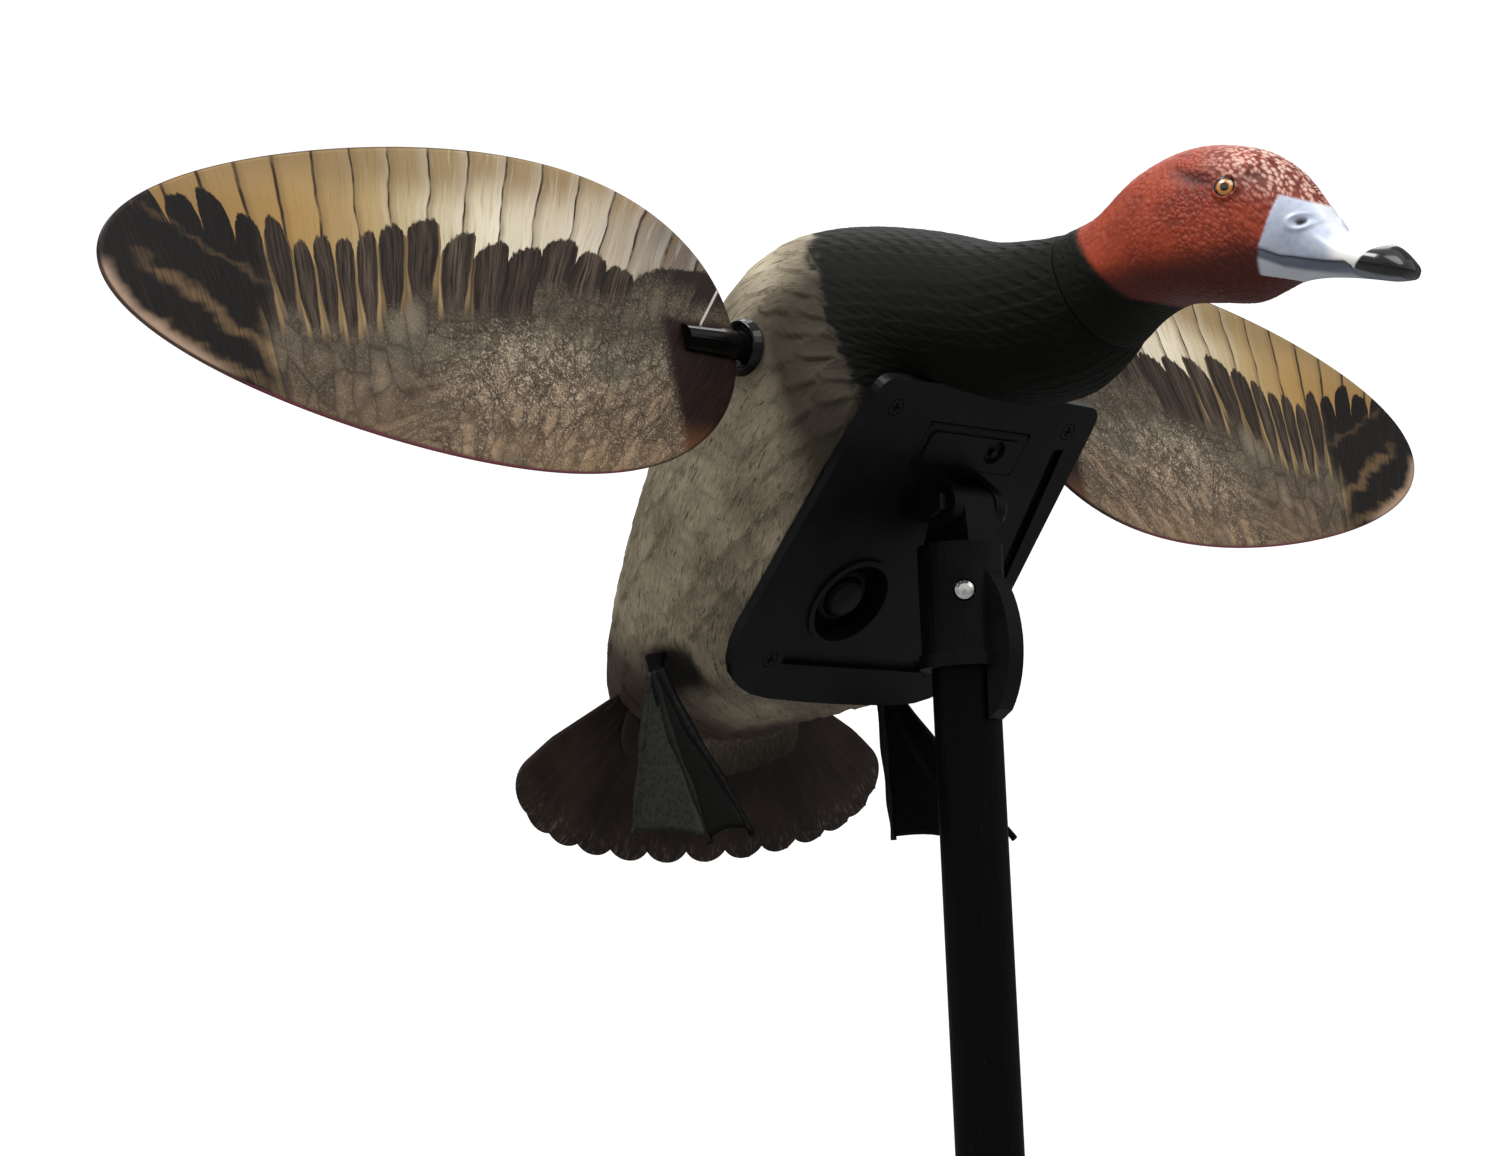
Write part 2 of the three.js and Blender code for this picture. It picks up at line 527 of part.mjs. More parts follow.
// ---------------------------------------------------------------- axle ends and wings
const POST = { radius: 5.3, root: 6.2, inner: 64, end: 103 };
const BUSH = { inner: 60, face: 71.8, outer: 75.6, bore: POST.radius + 0.5 };
const DRUM = { radius: 8, inner: 72.8, outer: 75.5 }; // the post's disc, sunk in the face of the bush
const WING_SCREW_Y = 90;
const WING_ROOT = HALF_SPAN - WING_LENGTH;

function axleBush() {
  const neck = rod("y", BUSH_BORE, BUSH.face - BUSH.inner + 1, 0, (BUSH.face + BUSH.inner + 1) / 2, 0, 20);
  const flange = rod("y", BUSH_RADIUS, BUSH.outer - BUSH.face, 0, (BUSH.outer + BUSH.face) / 2, 0, 28, 9.5);
  const recess = rod("y", DRUM.radius + GAP, 10, 0, DRUM.inner - GAP + 5, 0, 28);
  return cut(join(neck, flange), rod("y", BUSH.bore, 60, 0, 70, 0, 20), recess);
}

// The left post: round in its bush, then a slightly tapered half-round seat for the blade's face.
function wingPost() {
  const neck = rod("y", POST.radius, DRUM.outer - POST.inner, 0, (DRUM.outer + POST.inner) / 2, 0, 20);
  const drum = rod("y", DRUM.radius, DRUM.outer - DRUM.inner, 0, (DRUM.outer + DRUM.inner) / 2, 0, 28);
  const start = DRUM.outer - 1;
  const arm = rod("y", POST.root, POST.end - start, 0, (POST.end + start) / 2, 0, 28, POST.radius);
  const seat = box(40, 60, 20, 0, WING_ROOT - 0.4 + 30, 10 - WING_THICKNESS / 2 - GAP);
  const socket = rod("y", SHAFT_RADIUS + 0.15, 14, 0, POST.inner + 1, 0, 14);
  return cut(join(neck, drum, arm), seat, socket, rod("z", 1.8, 8, 0, WING_SCREW_Y, 0, 10));
}

function wingBlade() {
  const s = new THREE.Shape();
  const steps = 40;
  const middle = (WING_ROOT + HALF_SPAN) / 2;
  for (let i = 0; i < steps; i++) {
    const a = (2 * Math.PI * i) / steps;
    const c = Math.cos(a);
    const half = WING_CHORD / 2 - 2 - 15.6 * c + 5.2 * c * c; // broader at the root than at the tip
    const point = [half * Math.sin(a) - 3.2 * c, middle + (WING_LENGTH / 2) * c];
    if (i === 0) s.moveTo(...point);
    else s.lineTo(...point);
  }
  s.closePath();
  const blade = slab(s, -WING_THICKNESS / 2, WING_THICKNESS / 2);
  return cut(blade, rod("z", 1.8, 8, 0, WING_SCREW_Y, 0, 10));
}

function wingScrew() {
  const back = WING_THICKNESS / 2 + GAP;
  const head = rod("z", 3, 1.8, 0, WING_SCREW_Y, back + 0.9, 14);
  const shank = rod("z", 1.5, 4.6, 0, WING_SCREW_Y, back - 2.2, 10);
  const slots = [[4, 0.8], [0.8, 4]].map(([sx, sy]) => box(sx, sy, 1.2, 0, WING_SCREW_Y, back + 1.8));
  return cut(join(head, shank), ...slots);
}

// ---------------------------------------------------------------- pole, socket and pivot, in the row frame
const SOCKET = { radius: 16, bottom: POLE_LENGTH - 41, top: POLE_LENGTH + 5, bore: POLE_RADIUS + GAP };
const STEM_HALF = 8.5;
const PIVOT_Z = POLE_LENGTH + PIVOT_RISE;
const SNAP = { z: POLE_LENGTH - 13.4, radius: 4, turn: -45, travel: 4.5 };
const SPIGOT = { radius: POLE_RADIUS - POLE_WALL - GAP, length: 50, inside: 30 };

function poleSocket() {
  const height = SOCKET.top - SOCKET.bottom;
  const sleeve = rod("z", SOCKET.radius, height, 0, 0, (SOCKET.top + SOCKET.bottom) / 2, 32);
  const collar = rod("z", SOCKET.radius + 1.2, 5, 0, 0, SOCKET.bottom + 2.5, 32);
  const s = new THREE.Shape();
  s.moveTo(-12, SOCKET.top - 3).lineTo(PIVOT_X - 8, PIVOT_Z);
  s.absarc(PIVOT_X, PIVOT_Z, 8, Math.PI, 0, true).lineTo(12.5, SOCKET.top - 3);
  const ear = new THREE.Shape();
  ear.moveTo(13.6, SOCKET.bottom - 20).lineTo(18.5, SOCKET.bottom - 17);
  ear.quadraticCurveTo(26, SOCKET.bottom - 6, 25.4, SOCKET.bottom + 10);
  ear.quadraticCurveTo(24, SOCKET.bottom + 28, 14.5, SOCKET.top - 10).lineTo(13.6, SOCKET.bottom - 20);
  const bore = rod("z", SOCKET.bore, POLE_LENGTH + GAP, 0, 0, (POLE_LENGTH + GAP) / 2, 32);
  const solid = join(sleeve, collar, cheek(s, -STEM_HALF, STEM_HALF), cheek(ear, -4, 4));
  return cut(solid, bore, rod("y", PIVOT_BORE, 60, PIVOT_X, 0, PIVOT_Z, 18), snapHole());
}

// A radial hole for the snap button, open on the button's side only.
function snapHole() {
  const g = rod("x", SNAP.radius + GAP, 20, 15, 0, 0, 18);
  return g.rotateZ(deg(SNAP.turn)).translate(0, 0, SNAP.z);
}

function poleTube() {
  const middle = (POLE_LENGTH + SPIGOT.length) / 2;
  const tube = rod("z", POLE_RADIUS, POLE_LENGTH - SPIGOT.length, 0, 0, middle, 32);
  return cut(tube, rod("z", POLE_RADIUS - POLE_WALL, 2 * POLE_LENGTH, 0, 0, 0, 28), snapHole());
}

function poleSpigot() {
  const length = SPIGOT.length + SPIGOT.inside;
  const solid = rod("z", SPIGOT.radius, length, 0, 0, length / 2, 28);
  return cut(solid, rod("x", 3.2, 20, 10, 0, SPIGOT.length / 2, 14));
}

function snapButton() {
  const profile = [[0, 17.4], [2.2, 17.1], [3.5, 16.2], [SNAP.radius, 14.8], [SNAP.radius, 9.3]];
  profile.push([5.4, 9.3], [5.4, 8], [0, 8]);
  return turned(profile, 18).rotateY(deg(90)).rotateZ(deg(SNAP.turn)).translate(0, 0, SNAP.z);
}

// A folded leaf below the button: one arm behind it, the other against the far wall.
function snapSpring() {
  const s = new THREE.Shape();
  s.moveTo(7.7, 6).lineTo(6.9, 6).lineTo(1, -22).quadraticCurveTo(-1, -27, -4, -22);
  s.lineTo(-10, -2).lineTo(-10.7, -2).lineTo(-5, -24).quadraticCurveTo(-1, -30, 2, -23).lineTo(7.7, 6);
  return cheek(s, -3, 3, 4).rotateZ(deg(SNAP.turn)).translate(0, 0, SNAP.z);
}

function pivotBolt() {
  const head = rod("y", 5.8, 4, 0, -(LUG.outer + GAP + 2), 0, 6);
  return join(head, rod("y", BOLT_RADIUS, 39, 0, 2, 0, 18)).translate(PIVOT_X, 0, PIVOT_Z);
}

function pivotNut() {
  const body = join(
    rod("y", 5.8, 4.4, 0, LUG.outer + GAP + 2.2, 0, 6),
    rod("y", 4.6, 1.6, 0, LUG.outer + GAP + 5, 0, 18),
  );
  return cut(body, rod("y", BOLT_RADIUS + 0.15, 20, 0, LUG.outer + 3, 0, 18)).translate(PIVOT_X, 0, PIVOT_Z);
}

// ---------------------------------------------------------------- the assembly
const decoy = new THREE.Group();
decoy.name = "motion_wing_decoy";
const bird = new THREE.Group();
bird.position.set(-POLE_TO_AXLE, 0, BIRD_Z);
const wings = new THREE.Group();
wings.position.set(-POLE_TO_AXLE, 0, AXLE_Z);
wings.rotation.y = -deg(90 + WING_LEAN);
decoy.add(bird, wings);

function put(group, name, geometry, look) {
  const [color, roughness, metalness] = colour[look];
  const mesh = new THREE.Mesh(geometry, new THREE.MeshStandardMaterial({ color, roughness, metalness }));
  mesh.name = name;
  group.add(mesh);
}

put(bird, "body_shell", bodyShell(), "breast");
put(bird, "head_and_bill", headShell(), "red");
put(bird, "tail_fan", tailFan(), "brown");
for (const [side, label] of [[1, "left"], [-1, "right"]]) {
  const sided = (g) => (side > 0 ? g : mirrored(g));
  put(bird, `eye_${label}`, eyeball(side).translate(0.35, 0, 0.12), "amber");
  put(bird, `foot_${label}`, foot(side), "foot");
  put(bird, `axle_bush_${label}`, sided(axleBush()).translate(0, 0, -AXLE_DROP), "black");
  put(wings, `wing_post_${label}`, sided(wingPost()), "black");
  put(wings, `wing_blade_${label}`, sided(wingBlade()), "wing");
  put(wings, `wing_screw_${label}`, sided(wingScrew()), "steel");
}
put(wings, "drive_shaft", rod("y", SHAFT_RADIUS, 142, 0, 0, 0, 16), "steel");

put(bird, "base_plate", pitched(basePlate()), "black");
SCREWS.forEach(([x, y], i) => put(bird, `plate_screw_${i + 1}`, pitched(plateScrew(x, y)), "steel"));
put(bird, "charge_hatch", pitched(hatch()), "black");
put(bird, "hatch_pin", pitched(hatchPin()), "steel");
put(bird, "charge_socket", pitched(chargeSocket()), "black");
put(bird, "power_button", pitched(powerButton()), "black");
put(bird, "button_seal", pitched(buttonSeal()), "black");
put(bird, "power_switch", pitched(powerSwitch()), "black");
put(bird, "motor", pitched(motor()), "steel");
put(bird, "motor_frame", pitched(motorFrame()), "black");
FRAME_SCREWS.forEach(([x, y], i) => put(bird, `frame_screw_${i + 1}`, pitched(frameScrew(x, y)), "steel"));
put(bird, "battery_tray", pitched(batteryTray()), "black");
put(bird, "battery_pack", pitched(batteryPack()), "cell");
put(bird, "control_board", pitched(controlBoard()), "board");
for (const [name, { look, points }] of Object.entries(LEADS)) put(bird, name, pitched(wire(points, 1)), look);

put(decoy, "pole_socket", poleSocket(), "black");
put(decoy, "pivot_bolt", pivotBolt(), "steel");
put(decoy, "pivot_nut", pivotNut(), "steel");
put(decoy, "snap_button", snapButton(), "steel");
put(decoy, "snap_spring", snapSpring(), "steel");
put(decoy, "pole_tube", poleTube(), "blackSteel");
put(decoy, "pole_spigot", poleSpigot(), "blackSteel");

export default decoy;
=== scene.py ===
# Looks of the motion wing decoy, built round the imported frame. Lengths are millimetres until a mesh is made.
import math

import bmesh
import bpy
import numpy as np
from mathutils import Matrix, Vector


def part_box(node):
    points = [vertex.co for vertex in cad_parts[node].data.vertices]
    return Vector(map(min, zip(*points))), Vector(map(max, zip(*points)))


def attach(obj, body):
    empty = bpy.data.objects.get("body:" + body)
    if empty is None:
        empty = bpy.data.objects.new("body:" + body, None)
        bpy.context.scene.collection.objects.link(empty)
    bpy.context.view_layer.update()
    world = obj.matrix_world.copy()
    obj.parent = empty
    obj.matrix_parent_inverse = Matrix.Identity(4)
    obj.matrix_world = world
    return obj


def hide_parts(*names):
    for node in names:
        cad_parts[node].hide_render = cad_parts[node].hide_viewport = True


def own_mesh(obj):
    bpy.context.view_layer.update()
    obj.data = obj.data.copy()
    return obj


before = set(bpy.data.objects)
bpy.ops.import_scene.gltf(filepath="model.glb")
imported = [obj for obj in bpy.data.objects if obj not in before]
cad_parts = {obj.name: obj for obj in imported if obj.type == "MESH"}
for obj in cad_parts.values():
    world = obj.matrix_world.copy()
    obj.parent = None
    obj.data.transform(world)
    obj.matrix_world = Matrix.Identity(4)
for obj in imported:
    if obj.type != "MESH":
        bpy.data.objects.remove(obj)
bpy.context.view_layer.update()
MM = 0.001
random = np.random.default_rng(7)


# ---- where things are, read from the frame
def node_centre(name):
    """The middle of a CAD part's box, in millimetres."""
    low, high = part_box(name)
    return np.array((low + high) / 2) / MM


AXLE = node_centre("drive_shaft")
AXLE_DROP = 7.0
BIRD = AXLE + np.array([0, 0, AXLE_DROP])  # the body's drawing origin
PITCH = math.radians(49)
FORWARD = np.array([math.cos(PITCH), 0, math.sin(PITCH)])
OUT = np.array([math.sin(PITCH), 0, -math.cos(PITCH)])  # out of the belly plate
PLATE_INSIDE = 59.5  # distance of the plate's inner face from the bird's origin, along OUT
PLATE_FRONT, PLATE_REAR = 19.6, -120.4  # the plate's ends, along FORWARD


# ---- node expressions
class Tree:
    current = None


def node(kind, **settings):
    made = Tree.current.nodes.new(kind)
    for key, value in settings.items():
        setattr(made, key, value)
    return made


def feed(target, value):
    if isinstance(value, V):
        Tree.current.links.new(value.socket, target)
    elif hasattr(target.default_value, "__len__"):
        width = len(target.default_value)
        target.default_value = (tuple(value) + (1.0,))[:width]
    else:
        target.default_value = value


def feed_all(made, values):
    """Feeds a node's inputs, given by name or number."""
    for key, value in values.items():
        feed(made.inputs[key], value)


class V:
    """A value in the current node tree, which can be combined with arithmetic."""

    def __init__(self, socket):
        self.socket = socket

    def __abs__(self):
        return calc("ABSOLUTE", self)


def give_operator(sign, operation):
    """Lets a V stand on either side of an arithmetic sign."""
    setattr(V, f"__{sign}__", lambda self, other: calc(operation, self, other))
    setattr(V, f"__r{sign}__", lambda self, other: calc(operation, other, self))


for sign, operation in (("add", "ADD"), ("sub", "SUBTRACT"), ("mul", "MULTIPLY"), ("truediv", "DIVIDE")):
    give_operator(sign, operation)


def calc(operation, *values):
    made = node("ShaderNodeMath", operation=operation)
    for target, value in zip(made.inputs, values):
        feed(target, value)
    return V(made.outputs[0])


def smooth(value, low, high):
    """0 at low rising smoothly to 1 at high; low may be the larger."""
    start, end = (0.0, 1.0) if low < high else (1.0, 0.0)
    limits = {"From Min": min(low, high), "From Max": max(low, high), "To Min": start, "To Max": end}
    made = node("ShaderNodeMapRange", interpolation_type="SMOOTHSTEP")
    feed_all(made, {"Value": value} | limits)
    return V(made.outputs["Result"])


def power(value, exponent):
    return calc("POWER", calc("MAXIMUM", value, 0.0), exponent)


def larger(a, b):
    return calc("MAXIMUM", a, b)


def attribute(name, output="Vector"):
    return V(node("ShaderNodeAttribute", attribute_name=name).outputs[output])


def parts(vector):
    made = node("ShaderNodeSeparateXYZ")
    feed(made.inputs[0], vector)
    return [V(o) for o in made.outputs]


def vec(x=0.0, y=0.0, z=0.0):
    made = node("ShaderNodeCombineXYZ")
    for target, value in zip(made.inputs, (x, y, z)):
        feed(target, value)
    return V(made.outputs[0])


def noise(vector, scale=1.0, detail=3.0, roughness=0.55, distortion=0.0):
    made = node("ShaderNodeTexNoise")
    grain = {"Scale": scale, "Detail": detail, "Roughness": roughness, "Distortion": distortion}
    feed_all(made, {"Vector": vector} | grain)
    return V(made.outputs["Fac"])


def chance(vector):
    made = node("ShaderNodeTexWhiteNoise", noise_dimensions="3D")
    feed(made.inputs["Vector"], vector)
    return V(made.outputs["Value"])


def cells(vector, scale=1.0, feature="F1", output="Distance", jitter=1.0):
    made = node("ShaderNodeTexVoronoi", feature=feature)
    feed_all(made, {"Vector": vector, "Scale": scale, "Randomness": jitter})
    return V(made.outputs[output])


MIX_SHARE, MIX_A, MIX_B, MIX_RESULT = 0, 6, 7, 2  # the mix node's sockets for colours


def mix(share, a, b):
    """The colour a, with a share of the colour b over it."""
    made = node("ShaderNodeMix", data_type="RGBA", blend_type="MIX", clamp_factor=True)
    feed_all(made, {MIX_SHARE: share, MIX_A: a, MIX_B: b})
    return V(made.outputs[MIX_RESULT])


def paint(base, *coats):
    """A colour with coats laid over it in turn, each given as (share, colour)."""
    for share, colour in coats:
        base = mix(share, base, colour)
    return base


def shades(value, stops):
    """Colours along a value, given as (input, colour) stops."""
    first, last = stops[0][0], stops[-1][0]
    made = node("ShaderNodeValToRGB")
    for i, (x, colour) in enumerate(stops):
        place = (x - first) / (last - first)
        stop = made.color_ramp.elements[i] if i < 2 else made.color_ramp.elements.new(place)
        stop.position = place
        stop.color = (*colour, 1)
    feed(made.inputs[0], (value - first) / (last - first))
    return V(made.outputs[0])


def profile(value, points):
    """A line through (input, output) points."""
    heights = [y for _, y in points]
    low, high = min(heights), max(heights)
    stops = [(x, [(y - low) / (high - low)] * 3) for x, y in points]
    return shades(value, stops) * (high - low) + low


def position():
    """The shaded point in the row frame at rest, in millimetres."""
    place = V(node("ShaderNodeTexCoord").outputs["Object"])
    made = node("ShaderNodeVectorMath", operation="SCALE")
    feed(made.inputs[0], place)
    made.inputs["Scale"].default_value = 1 / MM
    return V(made.outputs[0])


def edge_wear(width):
    """1 on edges that stick out, 0 on flats and in corners."""
    made = node("ShaderNodeBevel", samples=4)
    made.inputs["Radius"].default_value = width * MM
    rounded = V(made.outputs[0])
    flat = V(node("ShaderNodeNewGeometry").outputs["Normal"])
    dot = node("ShaderNodeVectorMath", operation="DOT_PRODUCT")
    feed(dot.inputs[0], rounded)
    feed(dot.inputs[1], flat)
    return smooth(V(dot.outputs["Value"]), 0.995, 0.93)


def bump(height, strength, distance):
    made = node("ShaderNodeBump")
    feed_all(made, {"Strength": strength, "Distance": distance * MM, "Height": height})
    return V(made.outputs[0])


def surface(colour, roughness, normal, shine):
    """The shader inputs that most materials set."""
    return {"Base Color": colour, "Roughness": roughness, "Normal": normal, "Specular IOR Level": shine}


def material(name, build):
    """A material whose build function returns its Principled BSDF inputs by name."""
    made = bpy.data.materials.new(name)
    made.use_nodes = True
    Tree.current = made.node_tree
    shader = made.node_tree.nodes["Principled BSDF"]
    for key, value in build().items():
        feed(shader.inputs[key], value)
    return made


# ---- hard materials
def plastic(colour, grain=0.3, roughness=0.42, wear=0.5, shine=0.4):
    """Moulded plastic with a fine grain, dusty patches and paler worn edges."""
    def build():
        p = position()
        worn = edge_wear(0.5) * wear
        dusty = noise(p, 0.05, 4)
        pits = noise(p, 1.6, 4, 0.6)
        lighter = tuple(c * 2.2 + 0.008 for c in colour)
        tone = paint(colour, (smooth(dusty, 0.35, 0.75) * 0.35, lighter), (worn, lighter))
        rough = roughness + 0.22 * (dusty - 0.5) + 0.15 * (pits - 0.5) + worn * 0.1
        return surface(tone, rough, bump(pits, grain, 0.12), shine)
    return build


def rubber(colour):
    """Dull rubber with a fine speckle and paler patches."""
    def build():
        p = position()
        speckle = noise(p, 2.5, 3)
        patches = smooth(noise(p, 0.09, 3), 0.4, 0.7)
        tone = mix(patches * 0.4, colour, tuple(c * 1.9 for c in colour))
        return surface(tone, 0.62 + 0.2 * (speckle - 0.5), bump(speckle, 0.25, 0.1), 0.16)
    return build


def metal(colour, roughness=0.28):
    """Brushed metal with darker stains."""
    def build():
        p = position()
        x, y, z = parts(p)
        brushed = noise(vec(x * 0.4, y * 0.4, z * 6.0), 1.0, 4)
        stain = noise(p, 0.12, 4)
        tone = mix(smooth(stain, 0.45, 0.8) * 0.5, colour, tuple(c * 0.55 for c in colour))
        rough = roughness + 0.18 * (brushed - 0.5) + 0.12 * (stain - 0.5)
        return surface(tone, rough, bump(brushed, 0.12, 0.04), 0.5) | {"Metallic": 1.0}
    return build


def powder_coat(colour):
    """Orange peel, long faint scuffs, and steel where an edge is worn."""
    def build():
        p = position()
        x, y, z = parts(p)
        orange_peel = noise(p, 1.1, 2)
        scuffs = smooth(noise(vec(x * 1.2, y * 1.2, z * 0.06), 1.0, 5, 0.7), 0.62, 0.72)
        tone = mix(larger(scuffs * 0.18, edge_wear(0.4) * 0.5), colour, (0.03, 0.03, 0.032))
        rough = 0.38 + 0.15 * (orange_peel - 0.5) + scuffs * 0.18
        return surface(tone, rough, bump(orange_peel, 0.14, 0.1), 0.05)
    return build


# ---- meshes
def add_object(name, data):
    made = bpy.data.objects.new(name, data)
    bpy.context.scene.collection.objects.link(made)
    return made


def mesh_object(name, points, faces, mat, body, replaces=(), attributes=None, smooth_faces=True):
    """A piece from points in millimetres in the row frame, riding on its body."""
    mesh = bpy.data.meshes.new(name)
    mesh.from_pydata([tuple(p) for p in np.asarray(points, float) * MM], [], faces)
    mesh.update()
    if smooth_faces:
        mesh.polygons.foreach_set("use_smooth", [True] * len(mesh.polygons))
    for key, values in (attributes or {}).items():
        values = np.asarray(values, np.float32)
        kind, field = ("FLOAT_VECTOR", "vector") if values.ndim == 2 else ("FLOAT", "value")
        made = mesh.attributes.new(key, kind, "POINT")
        made.data.foreach_set(field, values.ravel())
    mesh.materials.append(mat)
    piece = add_object(name, mesh)
    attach(piece, body)
    if replaces:
        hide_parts(*replaces)
    return piece


def drop_loose(piece):
    """Deletes points that no face uses."""
    b = bmesh.new()
    b.from_mesh(piece.data)
    bmesh.ops.delete(b, geom=[v for v in b.verts if not v.link_faces], context="VERTS")
    bmesh.ops.recalc_face_normals(b, faces=b.faces)
    b.to_mesh(piece.data)
    b.free()


def ring_faces(rows, columns):
    """Quads of a grid whose rows are closed rings."""
    i = np.arange(rows - 1)[:, None]
    j = np.arange(columns)[None, :]
    k = (j + 1) % columns
    corners = (i * columns + j, i * columns + k, (i + 1) * columns + k, (i + 1) * columns + j)
    return np.stack(corners, -1).reshape(-1, 4).tolist()


def closed_faces(rows, columns, ends=2):
    """Rings, and fans from the end points that follow them to the first and the last ring."""
    first, end = rows * columns, (rows - 1) * columns
    turn = [(j, (j + 1) % columns) for j in range(columns)]
    faces = ring_faces(rows, columns) + [[first, k, j] for j, k in turn]
    if ends == 2:
        faces += [[first + 1, end + j, end + k] for j, k in turn]
    return faces


def blade_faces(rows, columns):
    """A closed blade: a grid for its front, a second grid for its back, and the rim between them."""
    back = rows * columns
    faces = []
    for a in range(rows - 1):
        for b in range(columns - 1):
            q = a * columns + b
            faces.append([q, q + 1, q + columns + 1, q + columns])
            faces.append([q + back, q + back + columns, q + back + columns + 1, q + back + 1])
    rim = [a * columns for a in range(rows)]
    rim += [(rows - 1) * columns + b for b in range(1, columns)]
    rim += [a * columns + columns - 1 for a in range(rows - 2, -1, -1)]
    rim += list(range(columns - 2, 0, -1))
    return faces + [[b, b + back, a + back, a] for a, b in zip(rim, rim[1:] + rim[:1])]


def turns(count):
    """Angles evenly round a circle."""
    return np.linspace(0, 2 * np.pi, count, endpoint=False)


def unit(vectors):
    return vectors / np.maximum(1e-9, np.linalg.norm(vectors, axis=-1, keepdims=True))


def line_at(value, points):
    """The height at a value of the line through (value, height) points."""
    return np.interp(value, *np.array(points).T)


def hill(*away, steep=2):
    """1 in the middle, near 0 where one of the distances is well above 1."""
    return np.exp(-sum(np.abs(a) ** steep for a in away))


# ---- the bird's skin
# Stations along the skin: forward, up, slope in degrees, half width, rise, drop, and squareness below.
BODY = np.array([
    [-119, -155, 66, 25, 6, 6, 2.2],
    [-111, -137, 60, 37, 13, 12, 2.2],
    [-100, -124, 53, 49, 25, 22, 2.4],
    [-85, -111, 50, 57, 38, 36, 3],
    [-63, -91, 50, 65, 50, 55, 4],
    [-41, -64, 50, 69, 57, 60, 5],
    [-19, -36, 50, 71, 59, 60, 5],
    [4, -10, 50, 71, 58, 59, 4],
    [18, 2, 45, 68, 55, 53, 3],
    [33, 8, 38, 62, 47, 49, 2.5],
    [55, 6, 28, 52, 37, 44, 2.2],
    [80, 2, 22, 39, 28, 37, 2.2],
    [100, 2, 19, 30, 24, 30, 2.2],
    [112, 4, 18, 25, 21.5, 25, 2.2],
])
HEAD = np.array([
    [112, 4, 18, 25, 21.5, 25, 2.2],
    [127, 9, 15, 23, 20, 22, 2.2],
    [144, 14, 7, 23, 26, 23, 2.2],
    [163, 16, 1, 22.5, 28, 27, 2.2],
    [182, 13, -8, 20.5, 26.3, 27, 2.2],
    [194, 7.5, -16, 16, 22.6, 20.5, 2.2],
    [203, 3.5, -20, 13, 16, 14.5, 2.2],
    [212, -1, -22, 11.5, 7.9, 10.2, 2.2],
    [221, -5.5, -21, 10.8, 4.7, 7.2, 2.2],
    [230, -9.5, -18, 10.6, 4.8, 5.4, 2.2],
    [238, -12.7, -13, 9.6, 5, 4.4, 2.2],
    [243.5, -15, -10, 5.8, 2.5, 2.6, 2.2],
])


def column(stations, t):
    """Every station value at each t, by smooth cubics."""
    last = len(stations) - 1
    t = np.clip(np.asarray(t, float), 0, 1) * last
    i = np.minimum(last - 1, t.astype(int))
    f = (t - i)[:, None]
    at = lambda j: stations[np.clip(j, 0, last)]
    m0, m1 = (at(i + 1) - at(i - 1)) / 2, (at(i + 2) - at(i)) / 2
    bend = (2 * f**3 - 3 * f**2) * (at(i) - at(i + 1)) + (f**3 - 2 * f**2 + f) * m0
    return at(i) + bend + (f**3 - f**2) * m1


def curve(points, count):
    """Points along a smooth curve through the given ones."""
    return column(np.asarray(points, float), np.linspace(0, 1, count))


def skin_grid(stations, t, angle):
    """Points on a skin, as rows of rings, relative to the bird's origin."""
    x, z, slope, half, up, down, square = (v[:, None] for v in column(stations, t).T)
    slope = np.radians(slope)
    s, c = np.sin(angle)[None, :], np.cos(angle)[None, :]
    exponent = np.where(s < 0, 2 / square, 2 / 2.2)
    across = np.sign(c) * np.abs(c) ** exponent * half
    rise = np.sign(s) * np.abs(s) ** exponent * np.where(s < 0, down, up)
    return np.stack([x - np.sin(slope) * rise, across, z + np.cos(slope) * rise], -1)


def grid_normals(points):
    """Outward normals of rows of closed rings."""
    along = np.gradient(points, axis=0)
    around = (np.roll(points, -1, 1) - np.roll(points, 1, 1)) / 2
    return unit(np.cross(around, along))


def lengths_along(points):
    """Distance along the skin from the first row, and round each ring from its top."""
    middle = points.mean(axis=1)
    steps = np.linalg.norm(np.diff(middle, axis=0), axis=-1)
    along = np.concatenate([[0], np.cumsum(steps)])[:, None] * np.ones(points.shape[1])
    around = np.linalg.norm(np.roll(points, -1, 1) - points, axis=-1)
    total = np.cumsum(around, axis=1) - around
    return along, total


def skin(stations, rows, columns):
    """How far along each ring is, the rings' points and normals, and the lengths along and round the skin."""
    t = np.linspace(0, 1, rows)
    points = skin_grid(stations, t, turns(columns) + np.pi / 2)
    return t, points, grid_normals(points), *lengths_along(points)


def per_point(ends, *values):
    """Grid values as one row for each point, with the first and last ones again for the end points."""
    return np.stack([np.append(v, v.ravel()[[0, -1]][:ends]) for v in values], -1).squeeze()


def dice(i, j, seed, p=127.1, q=311.7):
    """A number from 0 to 1 for each pair of whole numbers, scattered by a usual sine hash."""
    return np.mod(np.sin(i * p + j * q + seed) * 43758.5453, 1)


